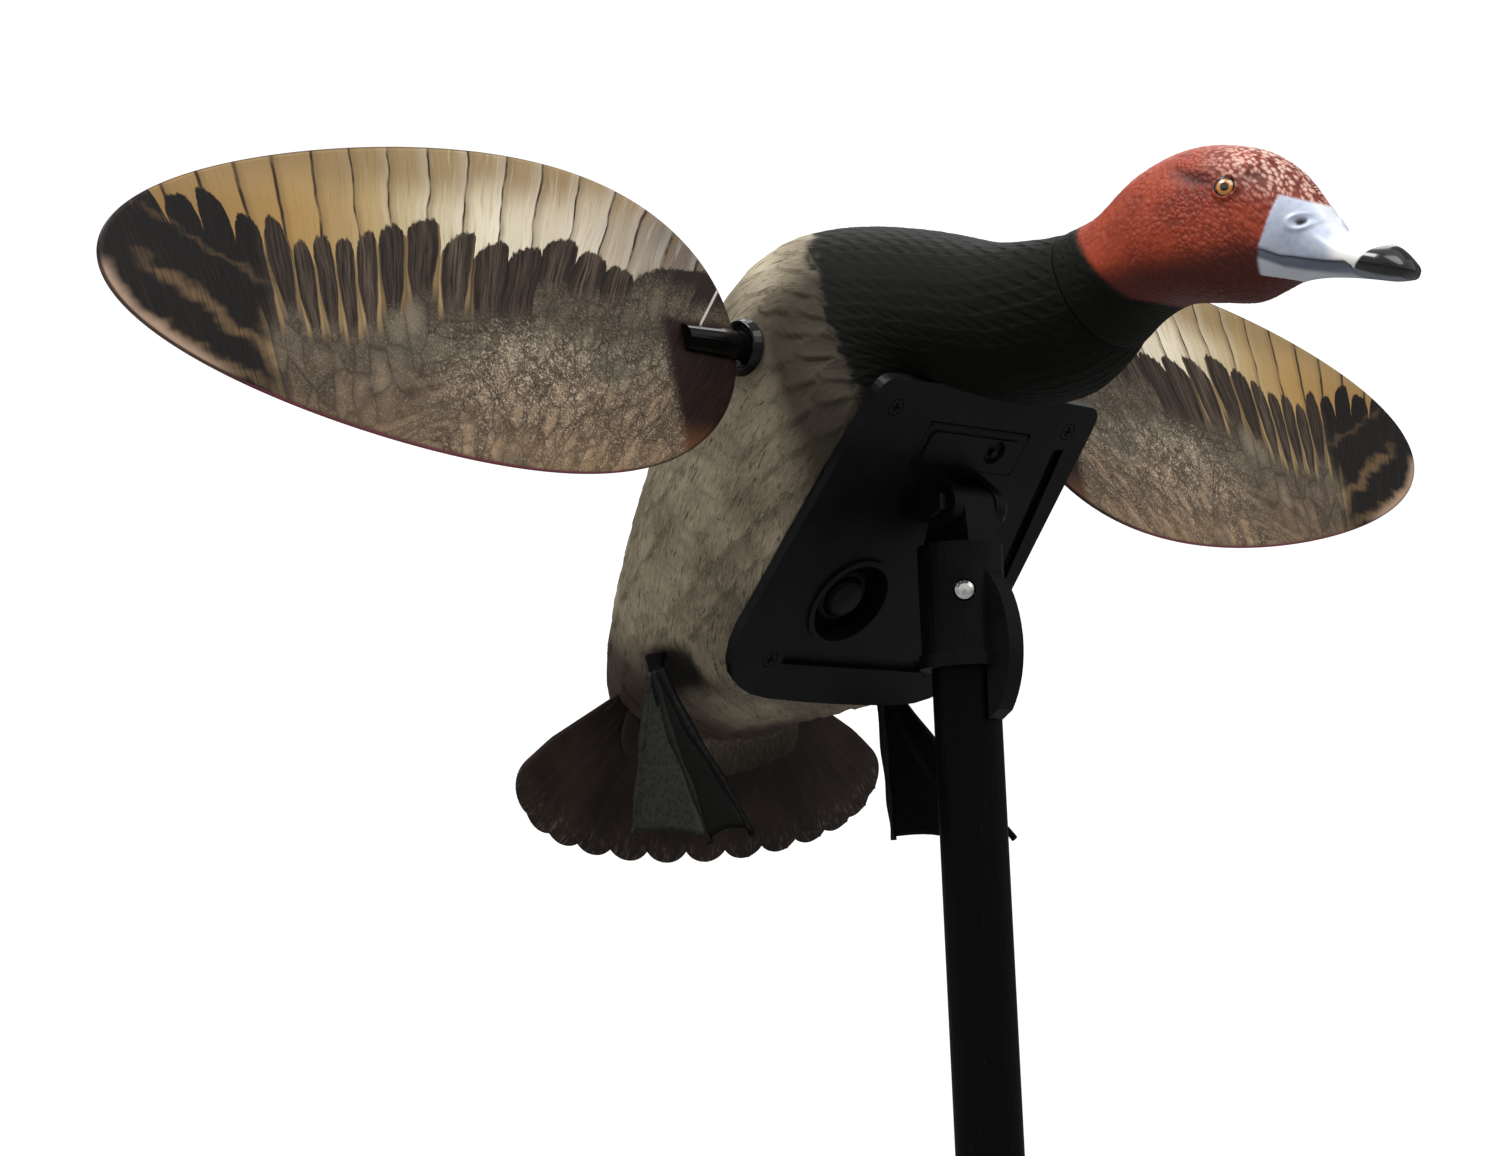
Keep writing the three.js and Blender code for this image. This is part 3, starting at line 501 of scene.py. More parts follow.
def feathers(along, around, pitch, width, seed):
    """Overlapping feathers with tips at lower `along`: (distance from the tip in pitches, luck, across)."""
    bulge = 0.8  # how far a tip's sides lie behind its middle, in pitches
    reach = np.full(along.shape, 2.0)
    luck = np.zeros(along.shape)
    side = np.zeros(along.shape)
    found = np.zeros(along.shape, bool)
    base = np.floor(along / pitch)
    for row in (1, 0, -1, -2):
        k = base + row
        shift = 0.5 * np.mod(k, 2)
        place = np.round(around / width - shift)
        rolled = dice(k, place, seed * 74.7)
        x = (around - (place + shift) * width) / (width / 2)
        tip = (k + bulge * x * x + 0.35 * (rolled - 0.5)) * pitch
        covers = (along >= tip) & ~found
        reach = np.where(covers, (along - tip) / pitch, reach)
        luck = np.where(covers, rolled, luck)
        side = np.where(covers, x, side)
        found |= covers
    return np.clip(reach, 0, 2), luck, side


def pebbles(along, around, size, seed):
    """Rounded bumps packed at random: 1 at a bump's top, 0 between them."""
    a, b = along / size, around / size
    nearest = np.full(a.shape, 9.0)
    for da in (-1, 0, 1):
        for db in (-1, 0, 1):
            i, j = np.floor(a) + da, np.floor(b) + db
            top_a, top_b = i + dice(i, j, seed), j + dice(i, j, seed, 269.5, 183.3)
            nearest = np.minimum(nearest, np.hypot(top_a - a, top_b - b))
    return np.clip(1 - (nearest / 0.75) ** 2, 0, 1)


def body_paint():
    """Black breast and neck, tan-grey flanks with fine dark strokes, and painted shadow in the leg recesses
    and on the flank under the wing.
    """
    tip, luck, side = parts(attribute("feather"))
    along, around, black = parts(attribute("skin"))
    # shade is painted shadow in the leg recesses; pale is a paler band behind the breast where above 0 and
    # painted shadow from the wing where below 0; rump darkens the rump
    shade, pale, rump = parts(attribute("marks"))
    strokes = noise(vec(along * 0.13, around * 0.75, luck * 9), 1.0, 4, 0.65, 0.9)
    hairs = noise(vec(along * 0.3, around * 2.2, luck * 5), 1.0, 4, 0.65, 0.5)
    clouds = smooth(noise(position(), 0.03, 4), 0.3, 0.7)
    rim = smooth(tip, 0.14, 0.0) + 0.6 * smooth(abs(side), 0.86, 1.0)
    tan = paint(
        mix(clouds, (0.125, 0.102, 0.068), (0.29, 0.245, 0.17)),
        (luck * 0.4, (0.06, 0.047, 0.03)),
        (smooth(hairs, 0.48, 0.72) * 0.5, (0.4, 0.34, 0.245)),
        (pale * 0.85, (0.42, 0.365, 0.265)),
        # painted shadow from the wing, where the pale mark is below 0
        (pale * -0.95, (0.026, 0.021, 0.014)),
        (smooth(hairs, 0.46, 0.3) * 0.5, (0.035, 0.027, 0.017)),
        (smooth(strokes, 0.56, 0.64) * 0.75, (0.026, 0.019, 0.012)),
        (rim * 0.5, (0.02, 0.015, 0.01)),
        (rump * 0.9, (0.034, 0.023, 0.018)),
    )
    dark = mix(smooth(hairs, 0.4, 0.8), (0.002, 0.0021, 0.0014), (0.0062, 0.0065, 0.0042))
    dark = mix(smooth(tip, 0.25, 0.0) * 0.2, dark, (0.012, 0.0125, 0.0082))
    border = smooth(black + 1.2 * (hairs - 0.5) + 0.6 * (luck - 0.5), 0.2, 0.8)
    # the shade mark adds painted shadow in the leg recesses
    colour = paint(tan, (border, dark), (shade, (0.006, 0.006, 0.006)))
    relief = bump(hairs * 0.6 + strokes * 0.4, 0.5, 0.5)
    return surface(colour, 0.66 + 0.2 * (hairs - 0.5), relief, 0.12 - 0.05 * border)


# The rear edge of the black breast as (height, forward), square to the belly plate.
BREAST_EDGE = [(-59.3, 2.0), (-51, 8.4), (-39, 15.8), (-25, 23.7), (-11, 31.4), (13, 34.5), (40, 30)]


def make_body():
    """The hollow body, feathered, with a recess for each leg and an opening behind the belly plate."""
    rows, columns = 270, 330
    wall_thickness = 2.2
    t, p, n, along, around = skin(BODY, rows, columns)
    u, depth = p @ FORWARD, p @ OUT
    edge = line_at(-depth, BREAST_EDGE)
    black = 0.5 + (u - edge) / 5
    share = np.clip(black, 0, 1)
    small = feathers(along, around, 5.5, 7.0, seed=1)
    large = feathers(along, around, 12.0, 14.0, seed=2)
    tip, luck, side = (np.where(share > 0.5, a, b) for a, b in zip(small, large))
    barbs = np.sin(around * 2.1 + 3 * np.sin(along * 0.35) + 5 * luck)
    relief = share * 0.3 * (1 - np.clip(small[0], 0, 1.3))
    relief += (1 - share) * 0.7 * (1 - np.clip(large[0], 0, 1.2))
    relief += 0.07 * barbs * (1 - 0.6 * share)
    fade = np.clip(np.minimum(t, 1 - t) / 0.03, 0, 1)[:, None]
    x, y, z = p[..., 0], np.abs(p[..., 1]), p[..., 2]
    socket = hill((x + 60) / 14, (z + 120) / 8, steep=4) * (y > 35)  # where a leg goes in
    p = p + n * (relief * fade - 2.2 * socket)[..., None]
    # the belly is flat under the plate, and open behind its middle
    under = (u < PLATE_FRONT + 1) & (depth > PLATE_INSIDE - 0.3)
    push = np.where(under, PLATE_INSIDE - 0.4 - p @ OUT, 0)
    p = p + push[..., None] * OUT
    ahead, off = p @ FORWARD, np.abs(p[..., 1])
    opening = under & (ahead > PLATE_REAR + 14) & (ahead < PLATE_FRONT - 12) & (off < 46)
    opening = np.append(opening, False)
    faces = [f for f in closed_faces(rows, columns, ends=1) if not opening[f].all()]
    points = p.reshape(-1, 3)
    points = np.vstack([points, points[:columns].mean(0)])
    pale = np.clip(1 - np.abs(u - edge + 16) / 16, 0, 1) * np.clip((-depth + 5) / 25, 0, 1)
    # painted shadow from the wing and its post, on the flank just behind the breast
    painted_wing_shadow = np.clip(1.6 - np.abs(u - edge + 12) / 22, 0, 1) * np.clip((depth + 6) / 18, 0, 1)
    rump = np.clip((-u - 150 + 0.4 * off) / 16, 0, 1)
    # marks: painted shadow in the leg recesses, the pale band less the painted wing shadow, and the darker
    # rump
    attributes = {
        "feather": per_point(1, tip, luck, side),
        "skin": per_point(1, along, around, black),
        "marks": per_point(1, np.clip(1.3 * socket, 0, 0.93), pale - painted_wing_shadow, rump),
    }
    mat = material("body_paint", body_paint)
    piece = mesh_object("body_skin", points + BIRD, faces, mat, "bird", ["body_shell"], attributes)
    drop_loose(piece)
    wall = piece.modifiers.new("wall", "SOLIDIFY")
    wall.thickness = wall_thickness * MM
    wall.offset = -1


BILL_WHITE, BILL_BLACK = (0.84, 0.83, 0.8), (0.003, 0.003, 0.0033)


def plumage(along, around, x, z, neck, streak, clouds, grain):
    """The head's rust-red feathers and black neck, with painted shade low down and painted highlight speckles
    on the crown: (colour, how much the feathers stand out).
    """
    stretch = 2.4 * (noise(vec(along, around, 5.0), 0.18, 3) - 0.5)
    dots = cells(vec(along + stretch, around - stretch), 0.6)
    calm = noise(vec(along, around, 3.0), 0.07, 2) + smooth(x, 190, 140) * 0.25
    crown = smooth(z + 0.55 * x, 120, 136) * smooth(x, 165, 192)
    gaps = smooth(dots, 0.45, 0.8) * smooth(calm, 0.8, 0.45)
    black = mix(smooth(grain, 0.4, 0.8), (0.0028, 0.0029, 0.002), (0.0088, 0.0092, 0.0064))
    red = paint(
        mix(smooth(clouds, 0.3, 0.7), (0.195, 0.024, 0.009), (0.3, 0.044, 0.016)),
        # painted shade, darker towards the bottom of the head
        (smooth(z, 7, -3) * 0.92, (0.05, 0.007, 0.0042)),
        # painted highlight: pale speckles on the crown
        (crown * smooth(dots, 0.7, 0.2) * 0.72, (0.66, 0.5, 0.42)),
        (gaps * (0.5 + 0.3 * crown), (0.05, 0.0075, 0.0045)),
        (smooth(grain, 0.55, 0.75) * 0.3, (0.42, 0.11, 0.05)),
        (streak * 0.85, (0.04, 0.01, 0.008)),
        (smooth(neck + 0.5 * (grain - 0.5), 0.25, 0.75), black),
    )
    return red, smooth(dots, 0.8, 0.1) * smooth(calm, 0.9, 0.45)


def head_paint():
    """Red plumage, black under the neck, and a blue-grey bill with a white band and a black tip, a painted
    highlight along its top and painted shade below the gape.
    """
    along, around, bill = parts(attribute("skin"))
    line, hole, streak = parts(attribute("marks"))
    x, y, z = parts(attribute("place"))
    neck, under = attribute("neck", "Fac"), attribute("under", "Fac")
    p = position()
    grain = noise(vec(along, around), 1.4, 3, 0.6)
    clouds = noise(p, 0.05, 3)
    mottled = noise(p, 0.22, 4)
    red, stipple = plumage(along, around, x, z, neck, streak, clouds, grain)
    mandible = smooth(under, -0.3, 0.3)
    nail = smooth(x - 1.1 * z + 1.2 * (mottled - 0.5), 241.8, 243.4)
    # painted shade just under the gape, fading to pale at the lower edge
    lower = mix(smooth(under, 2.6, 4.2), (0.105, 0.125, 0.175), (0.47, 0.5, 0.55))
    horn = paint(
        mix(smooth(mottled, 0.3, 0.7), (0.325, 0.365, 0.46), (0.43, 0.475, 0.57)),
        # painted highlight along the top of the bill
        (smooth(y * y, 70, 10) * 0.7 * smooth(z, -8, 6), (0.75, 0.77, 0.8)),
        (smooth(mottled, 0.55, 0.7) * 0.3, (0.24, 0.27, 0.34)),
        (smooth(x, 217, 224), BILL_WHITE),
        (nail, BILL_BLACK),
        (mandible, lower),
        (larger(line * 0.8, hole), (0.012, 0.014, 0.02)),
    )
    in_bill = smooth(bill + 0.8 * (grain - 0.5), -1.0, 0.9)
    glossy = nail * in_bill * (1 - mandible)
    rough = 0.56 + 0.12 * (clouds - 0.5) + neck * 0.12 + in_bill * -0.2 + glossy * -0.14
    feathered = (1 - in_bill) * (1 - 0.85 * neck)
    relief = bump((stipple * 0.8 + grain * 0.2) * feathered, 0.75, 0.6)
    shine = 0.24 + 0.2 * in_bill - 0.16 * neck - 0.15 * glossy
    coat = {"Coat Weight": glossy * 0.45, "Coat Roughness": 0.08}
    return surface(mix(in_bill, red, horn), rough, relief, shine) | coat


# The bill's back and the neck's black as (up, forward), the bill's top and the mouth as (forward, up).
BILL_EDGE = [(-15, 213), (-12.5, 209), (-10, 199), (-7.8, 190.8), (-2.6, 192.4), (1.5, 194), (5.6, 196.4),
             (17, 201.5)]
BILL_TOP = [(190, 18), (201, 17.7), (207, 15.3), (212.3, 13.1), (213.6, 30)]
GAPE = [(190, 2.0), (194.8, -0.3), (200, -3.2), (207.1, -5.2), (217, -7.8), (225.5, -9.8), (229, -12.6),
        (236, -15.8), (243, -17.4)]
NECK_EDGE = [(-26, 166), (-12, 158), (-10.8, 151), (-6.8, 137), (-2.4, 133), (6.1, 127), (21.8, 116.8),
             (36, 108)]


def make_head():
    """Head and bill: stippled feathers, the streak over the eye, eyelids, gape, nostrils and nail."""
    rows, columns = 400, 210
    seat = [0.35, 0, 0.12]  # sets the head on the neck's end
    t, p, n, along, around = skin(HEAD, rows, columns)
    x, y, z = p[..., 0], np.abs(p[..., 1]), p[..., 2]
    cheeks = np.clip(y / 8, 0, 1)
    spot = lambda cx, cz, rx, rz: hill((x - cx) / rx, (z - cz) / rz) * cheeks
    bill = np.minimum(x - line_at(z, BILL_EDGE), line_at(x, BILL_TOP) - z)
    bill = np.clip(bill, -6, 60)
    in_bill = 1 / (1 + np.exp(-bill / 0.35))
    bumps = pebbles(along, around, 2.0, 3.0)
    streak = hill((x - 171) / 9, (z + 0.4 * (x - 171) - 28.8) / 2.6) * cheeks
    streak = streak + 0.6 * spot(192, 25.5, 4, 2.5)
    swelling = 0.9 * spot(166, 4, 16, 12) + 0.7 * spot(181, 31, 11, 3.5)
    move = (1 - in_bill) * (0.26 * bumps - 1.2 * streak + swelling)
    lid = np.hypot((x - 184.3) / 1.05, z - 23.0)  # distance from the eye's middle
    near_eye = (y > 10) & (lid < 8)
    move += near_eye * (1.1 * hill((lid - 3.9) / 0.8) - 1.8 * hill(lid / 2.5, steep=4))
    move *= np.clip(t / 0.03, 0, 1)[:, None]
    under = line_at(x, GAPE) - z
    line = hill(under / 0.45) * (x < 228) * in_bill * (y > 2)
    ahead, above = x - 209, z - 6.8  # from the nostril's middle
    nostril = np.hypot((0.85 * ahead + 0.5 * above) / 1.7, 0.85 * above - 0.15 * ahead)
    hole = hill(nostril / 0.95, steep=4) * (y > 3)
    rim = hill((nostril - 2.3) / 0.7) * (y > 3)
    nail = hill((x - 237) / 6.5, y / 5) * (n[..., 2] > 0)
    below = in_bill / (1 + np.exp(-under / 0.25))
    neck = np.clip(0.5 + (line_at(z, NECK_EDGE) - x) / 7, 0, 1)
    move += in_bill * (0.75 - 0.9 * spot(205, -2, 7, 5))
    move += 0.6 * rim + 1.3 * nail - 0.7 * line - 1.2 * hole - 0.35 * below
    points = (p + n * move[..., None]).reshape(-1, 3)
    throat = points[:columns].mean(0) - [3, 0, 1]
    bill_end = points[-columns:].mean(0) + [1.0, 0, -0.2]
    points = np.vstack([points, throat, bill_end])
    attributes = {
        "skin": per_point(2, along, around, bill),
        "marks": per_point(2, line, hole, np.clip(streak, 0, 1)),
        "neck": per_point(2, neck),
        "under": per_point(2, np.clip(under, -5, 9)),
        "place": points,
    }
    mat = material("head_paint", head_paint)
    mesh_object("head_skin", points + BIRD + seat, closed_faces(rows, columns), mat, "bird",
                ["head_and_bill"], attributes)


def eye_look():
    """An amber iris with a dark rim and a black pupil, under clear glass."""
    radius, turn = attribute("radius", "Fac"), attribute("turn", "Fac")
    streaks = noise(vec(radius * 0.4, turn * 6), 1.0, 4)
    colour = paint(
        mix(smooth(streaks, 0.3, 0.7), (0.36, 0.12, 0.014), (0.72, 0.32, 0.045)),
        (smooth(radius, 1.9, 1.3) * 0.8, (0.2, 0.045, 0.008)),
        (smooth(radius, 2.55, 2.95), (0.01, 0.005, 0.004)),
        (smooth(radius, 1.62, 1.35), (0.004, 0.002, 0.0015)),
    )
    return {"Base Color": colour, "Roughness": 0.08, "Coat Weight": 1.0, "Coat Roughness": 0.03}


def make_eye(side, label, mat):
    """A glass bead whose iris looks a little forward."""
    rows, columns, radius = 28, 48, 4.6
    gaze = math.radians(29)  # forward of straight sideways
    polar, turn = np.meshgrid(np.linspace(0, np.pi, rows + 2)[1:-1], turns(columns), indexing="ij")
    off, out = radius * np.sin(polar), side * radius * np.cos(polar)
    points = np.stack([off * np.cos(turn), out, off * np.sin(turn)], -1).reshape(-1, 3)
    points = np.vstack([points, [0, side * radius, 0], [0, -side * radius, 0]])
    c, s = math.cos(gaze), side * math.sin(gaze)
    points = points @ np.array([[c, -s, 0], [s, c, 0], [0, 0, 1]])
    faces = closed_faces(rows, columns)
    if side < 0:
        faces = [f[::-1] for f in faces]
    attributes = {
        "radius": np.append(np.where(polar < np.pi / 2, off, radius), [0, radius]),
        "turn": np.append(turn, [0, 0]),
    }
    mesh_object(f"eye_bead_{label}", points + node_centre(f"eye_{label}"), faces, mat, "bird",
                [f"eye_{label}"], attributes)


# ---- tail fan
def tail_paint():
    """Dark brown barbs with paler shafts and worn pale tips."""
    across, length, luck = parts(attribute("skin"))
    barbs = noise(vec(across * 1.1 - length * 0.3, length * 1.3, luck * 20), 1.0, 3)
    clouds = noise(position(), 0.05, 3)
    frayed = smooth(noise(vec(across * 0.8, length * 0.2, luck * 9), 1.0, 3), 0.5, 0.7)
    brown = paint(
        mix(smooth(clouds, 0.3, 0.7), (0.0135, 0.0085, 0.0064), (0.026, 0.0165, 0.0125)),
        (smooth(barbs, 0.5, 0.8) * 0.5, (0.042, 0.028, 0.022)),
        (smooth(abs(across), 0.8, 0.25) * 0.2, (0.045, 0.034, 0.028)),
        (smooth(length, 66, 78) * frayed * 0.5, (0.13, 0.115, 0.1)),
    )
    return surface(brown, 0.58 + 0.2 * (barbs - 0.5), bump(barbs, 0.5, 0.4), 0.12)


FAN_X, FAN_Z = -97.0, -118.0
FAN_LEAN, FAN_ROLL = math.radians(10), math.radians(3)


def fan_point(across, down, out):
    """A point on the tail fan: across it, down it and out of its front."""
    c, s = math.cos(FAN_LEAN), math.sin(FAN_LEAN)
    x, z = c * out - s * down, -c * down - s * out
    c, s = math.cos(FAN_ROLL), math.sin(FAN_ROLL)
    return BIRD + np.array([FAN_X + x, across * c - z * s, FAN_Z + across * s + z * c])


def plume(root, tip, half, layer, cup, narrow=0.35, steps=30, wide=11):
    """One feather as a closed blade: points, faces and (across, along) of each point."""
    root, tip = np.array(root, float), np.array(tip, float)
    length = np.linalg.norm(tip - root)
    way = (tip - root) / length
    normal = np.array([way[1], -way[0]])
    tip_round = half / length
    points, marks = [], []
    for face in (1, -1):
        for v in 1 - (1 - np.linspace(0, 1, steps + 1)) ** 1.7:
            into = max(0.0, (v - 1 + tip_round) / tip_round)
            width = half * (narrow + (1 - narrow) * min(1, v * 1.5)) * math.sqrt(max(0.0, 1 - into ** 2.4))
            for w in np.linspace(-1, 1, wide):
                spot = root + way * length * v + normal * width * w
                out = layer + face * (0.45 - 0.2 * w * w) - cup * w * w
                if face > 0:
                    out += 0.42 * math.exp(-(w * 5) ** 2) + 0.1 * math.sin(9 * v * math.pi + 5 * abs(w))
                points.append(fan_point(spot[0], spot[1], out))
                marks.append([w * width, length * v])
    return points, blade_faces(steps + 1, wide), marks


def gather(name, blades, mat, replaces=()):
    """Feathers as one piece of the tail, each with its own random number."""
    points, faces, marks = [], [], []
    for spots, outline, places in blades:
        base, luck = len(points), random.random()
        points += spots
        faces += [[i + base for i in f] for f in outline]
        marks += [[across, along, luck] for across, along in places]
    drop_loose(mesh_object(name, points, faces, mat, "bird", replaces, {"skin": marks}))


def make_tail():
    """Thirteen overlapping tail feathers, and the coverts that lie over their roots."""
    count = 13
    tail, coverlets = [], []
    for i in range(count):
        turn = (i + 0.5) / count * math.pi
        c, s = math.cos(turn), math.sin(turn)
        out = 1.3 - 0.26 * abs(i - (count - 1) / 2)
        tail.append(plume((34 * c, 2 - 8 * s), (99 * c, 42 + 30 * s), 12.2 + 1.5 * s, out, 0.5))
    gather("tail_feathers", tail, material("tail_paint", tail_paint), ["tail_fan"])
    for layer, (number, spread, depth, half) in enumerate([(9, 46, 36, 11), (8, 38, 24, 10)]):
        for i in range(number):
            across = (2 * (i + 0.5) / number - 1) * spread
            bend = 1 - (across / 75) ** 2
            root, tip = (across * 0.75, -10), (across, depth * (0.35 + 0.65 * bend) + 2)
            out = 2.6 + 1.3 * layer - 0.02 * abs(across)
            coverlets.append(plume(root, tip, half, out, 0.6, narrow=0.6, steps=18, wide=9))
    gather("undertail_coverts", coverlets, material("covert_paint", covert_paint))


def covert_paint():
    """Tan at the belly, fading to the tail's brown."""
    across, length, luck = parts(attribute("skin"))
    _, y, z = parts(position())
    hairs = noise(vec(across * 1.6, length * 0.35, luck * 20), 1.0, 4, 0.65, 0.5)
    tan = mix(smooth(hairs, 0.35, 0.7), (0.06, 0.048, 0.032), (0.155, 0.13, 0.088))
    brown = mix(hairs, (0.014, 0.0095, 0.0072), (0.04, 0.029, 0.022))
    soft = 10 * (noise(vec(across * 0.5, length * 0.15, luck * 9), 1.0, 3) - 0.5)
    fade = larger(smooth(z + soft - 0.3 * y, 405, 380), smooth(abs(y - 12 + soft), 32, 50))
    return surface(mix(fade, tan, brown), 0.68 + 0.15 * (hairs - 0.5), bump(hairs, 0.5, 0.4), 0.1)


# ---- feet
def foot_paint():
    """Near-black scaly skin, painted paler where light falls on the webs and toes."""
    p = position()
    scales = cells(p, 0.45)
    painted_light = attribute("painted_light", "Fac")
    # the colour of the painted light on the lit webs and toes
    pale = mix(smooth(scales, 0.2, 0.6), (0.008, 0.008, 0.006), (0.015, 0.015, 0.0112))
    skin_tone = paint(
        mix(smooth(noise(p, 0.09, 4), 0.3, 0.7), (0.001, 0.001, 0.0009), (0.0024, 0.0023, 0.0021)),
        (smooth(scales, 0.5, 0.1) * 0.3, (0.005, 0.0048, 0.0042)),
        (painted_light, pale),
    )
    return surface(skin_tone, 0.62 + 0.2 * (scales - 0.5), bump(scales, 0.4, 0.4), 0.05 + 0.06 * painted_light)


def tube(points, radii, squash):
    """A closed tube along points with a radius at each: (points, faces)."""
    sides = 14
    way = unit(np.gradient(points, axis=0))
    side = unit(np.cross(way, [0.0, 1.0, 0.0]))
    other = np.cross(way, side) * squash
    turn = turns(sides)[None, :, None]
    rim = np.cos(turn) * side[:, None] + np.sin(turn) * other[:, None]
    rings = points[:, None] + radii[:, None, None] * rim
    return np.vstack([rings.reshape(-1, 3), points[:1], points[-1:]]), closed_faces(len(points), sides)


def web_sheet(first, second, side, light):
    """The web between two toes: (points, faces), and how much painted light each point gets."""
    rows, columns = len(first), 9
    points, lights = [], []
    for face in (0.7, -0.7):
        for a in range(rows):
            for w in np.linspace(0, 1, columns):
                belly = math.sin(math.pi * w)
                sag = 2.0 * belly * (a / (rows - 1)) ** 3
                points.append(first[a] * (1 - w) + second[a] * w + [0, side * (face + 0.5 * belly), sag])
                # the side that faces out gets the painted light; the inner side is painted dark as in shade
                lights.append(light if face > 0 else 0.1)
    return (points, blade_faces(rows, columns)), lights


def make_foot(side, label, mat):
    """A leg with three toes and the two webs between them."""
    hip = np.array([-62.0, side * 55.0, -119.0]) + BIRD
    splay = math.radians(8)
    hang = 7.9  # the webs hang this far outside the leg's peg
    back = [(-2.5, -3), (-4.5, -28), (-6, -50), (-7, -65)]
    middle = [(0, -3), (11, -28), (25, -51), (35.5, -71)]
    front = [(2.5, -3), (20, -26), (40, -48), (57, -69)]
    points, faces, painted_light = [], [], []

    def place(x, z):
        y = side * (hang * math.cos(splay) - z * math.sin(splay))
        return hip + [x, y, z * math.cos(splay) + hang * math.sin(splay)]

    def add(made, light):
        base = len(points)
        points.extend(made[0])
        faces.extend([[i + base for i in f] for f in made[1]])
        painted_light.extend(np.broadcast_to(light, len(made[0])))

    shank = curve([place(-1, 4), place(0, -3), place(3, -18)], 14)
    add(tube(shank, np.linspace(5.2, 1.6, 14), 0.62), 0.0)
    knuckles = 2.5 + 0.3 * np.cos(np.linspace(0, 6 * np.pi, 26)) - np.linspace(0, 1.4, 26)
    toes = [[place(x, z) for x, z in toe] for toe in (back, middle, front)]
    # painted light on the toes: the back toe lit, the front toe in shade
    for toe, light in zip(toes, (0.9, 0.3, 0.0)):
        add(tube(curve(toe, 26), knuckles, 0.85), light)
    spokes = [curve(toe, 21)[:20] for toe in toes]
    # painted light on the webs: the back web lit, the front web in shade
    for first, second, light in zip(spokes, spokes[1:], (1.0, 0.12)):
        add(*web_sheet(first, second, side, light))
    drop_loose(mesh_object(f"webbed_foot_{label}", points, faces, mat, "bird", [f"foot_{label}"],
                           {"painted_light": painted_light}))


# ---- wings
WING_ROOT, WING_TIP = 76.0, 355.0
# In the print, s runs out from the blade's root and c up across it. g is s where a leaning vane meets c = 50.
FINGER_TOPS = [(0, 29), (30, 27), (46, 22), (56, 25), (90, 29), (120, 27), (150, 25), (180, 21), (200, 15),
               (215, 19), (240, 27), (262, 26)]
FINGER_ENDS = [(40, 16), (60, 8), (100, 4), (130, 0), (150, -6), (180, -13), (205, -18), (225, -16)]
VANE_PITCH = 17.2


def flight_feathers(s, c):
    """Cream and gold vanes split by thin dark lines that lean outwards from the root: (colour, g, barbs)."""
    drop = 50 - c
    wander = noise(vec(s * 0.03, c * 0.04), 1.0, 2) - 0.5
    g = (s - 0.72 * drop) / (1 - 0.0038 * drop) + wander * 7 + 1.4
    row = g / VANE_PITCH
    number, x = calc("FLOOR", row), calc("FRACT", row)
    luck = chance(vec(number, 3.0))
    barbs = noise(vec(g * 0.9, c * 0.05 + g * 0.05, number), 1.0, 5, 0.65)
    base = shades(s, [(0, (0.075, 0.055, 0.045)), (26, (0.15, 0.12, 0.1)), (42, (0.31, 0.27, 0.22)),
                      (70, (0.6, 0.53, 0.41)), (110, (0.72, 0.65, 0.5)), (140, (0.6, 0.52, 0.35)),
                      (165, (0.42, 0.3, 0.135)), (200, (0.36, 0.215, 0.072)), (250, (0.26, 0.145, 0.045))])
    high, inner = c + 0.1 * s, smooth(s, 190, 130)
    width = 0.05 + 0.05 * smooth(s, 62, 25) + 0.045 * smooth(s, 165, 215)
    line = larger(smooth(x / width, 1.0, 0.4), smooth((1 - x) / width, 0.6, 0.0))
    gap = 0.45 + 0.55 * smooth(noise(vec(g * 0.2, c * 0.1, 5.0), 1.0, 2), 0.3, 0.6)
    vane = paint(
        base,
        (smooth(high + 5 * (luck - 0.5), 49, 64) * 0.85, (0.2, 0.132, 0.06)),
        (smooth(high, 42, 56) * 0.35, (0.38, 0.27, 0.13)),
        (luck * 0.28, (0.26, 0.175, 0.085)),
        (smooth(barbs, 0.5, 0.72) * 0.5, (0.19, 0.115, 0.048)),
        (smooth(barbs, 0.46, 0.32) * 0.2 * inner, (0.84, 0.8, 0.68)),
        (smooth(x, 0.72, 1.0) * 0.5, (0.16, 0.1, 0.045)),
        (smooth(x, 0.4, 0.1) * 0.12 * inner, (0.9, 0.87, 0.78)),
        (line * gap, (0.026, 0.014, 0.008)),
    )
    return vane, g, barbs


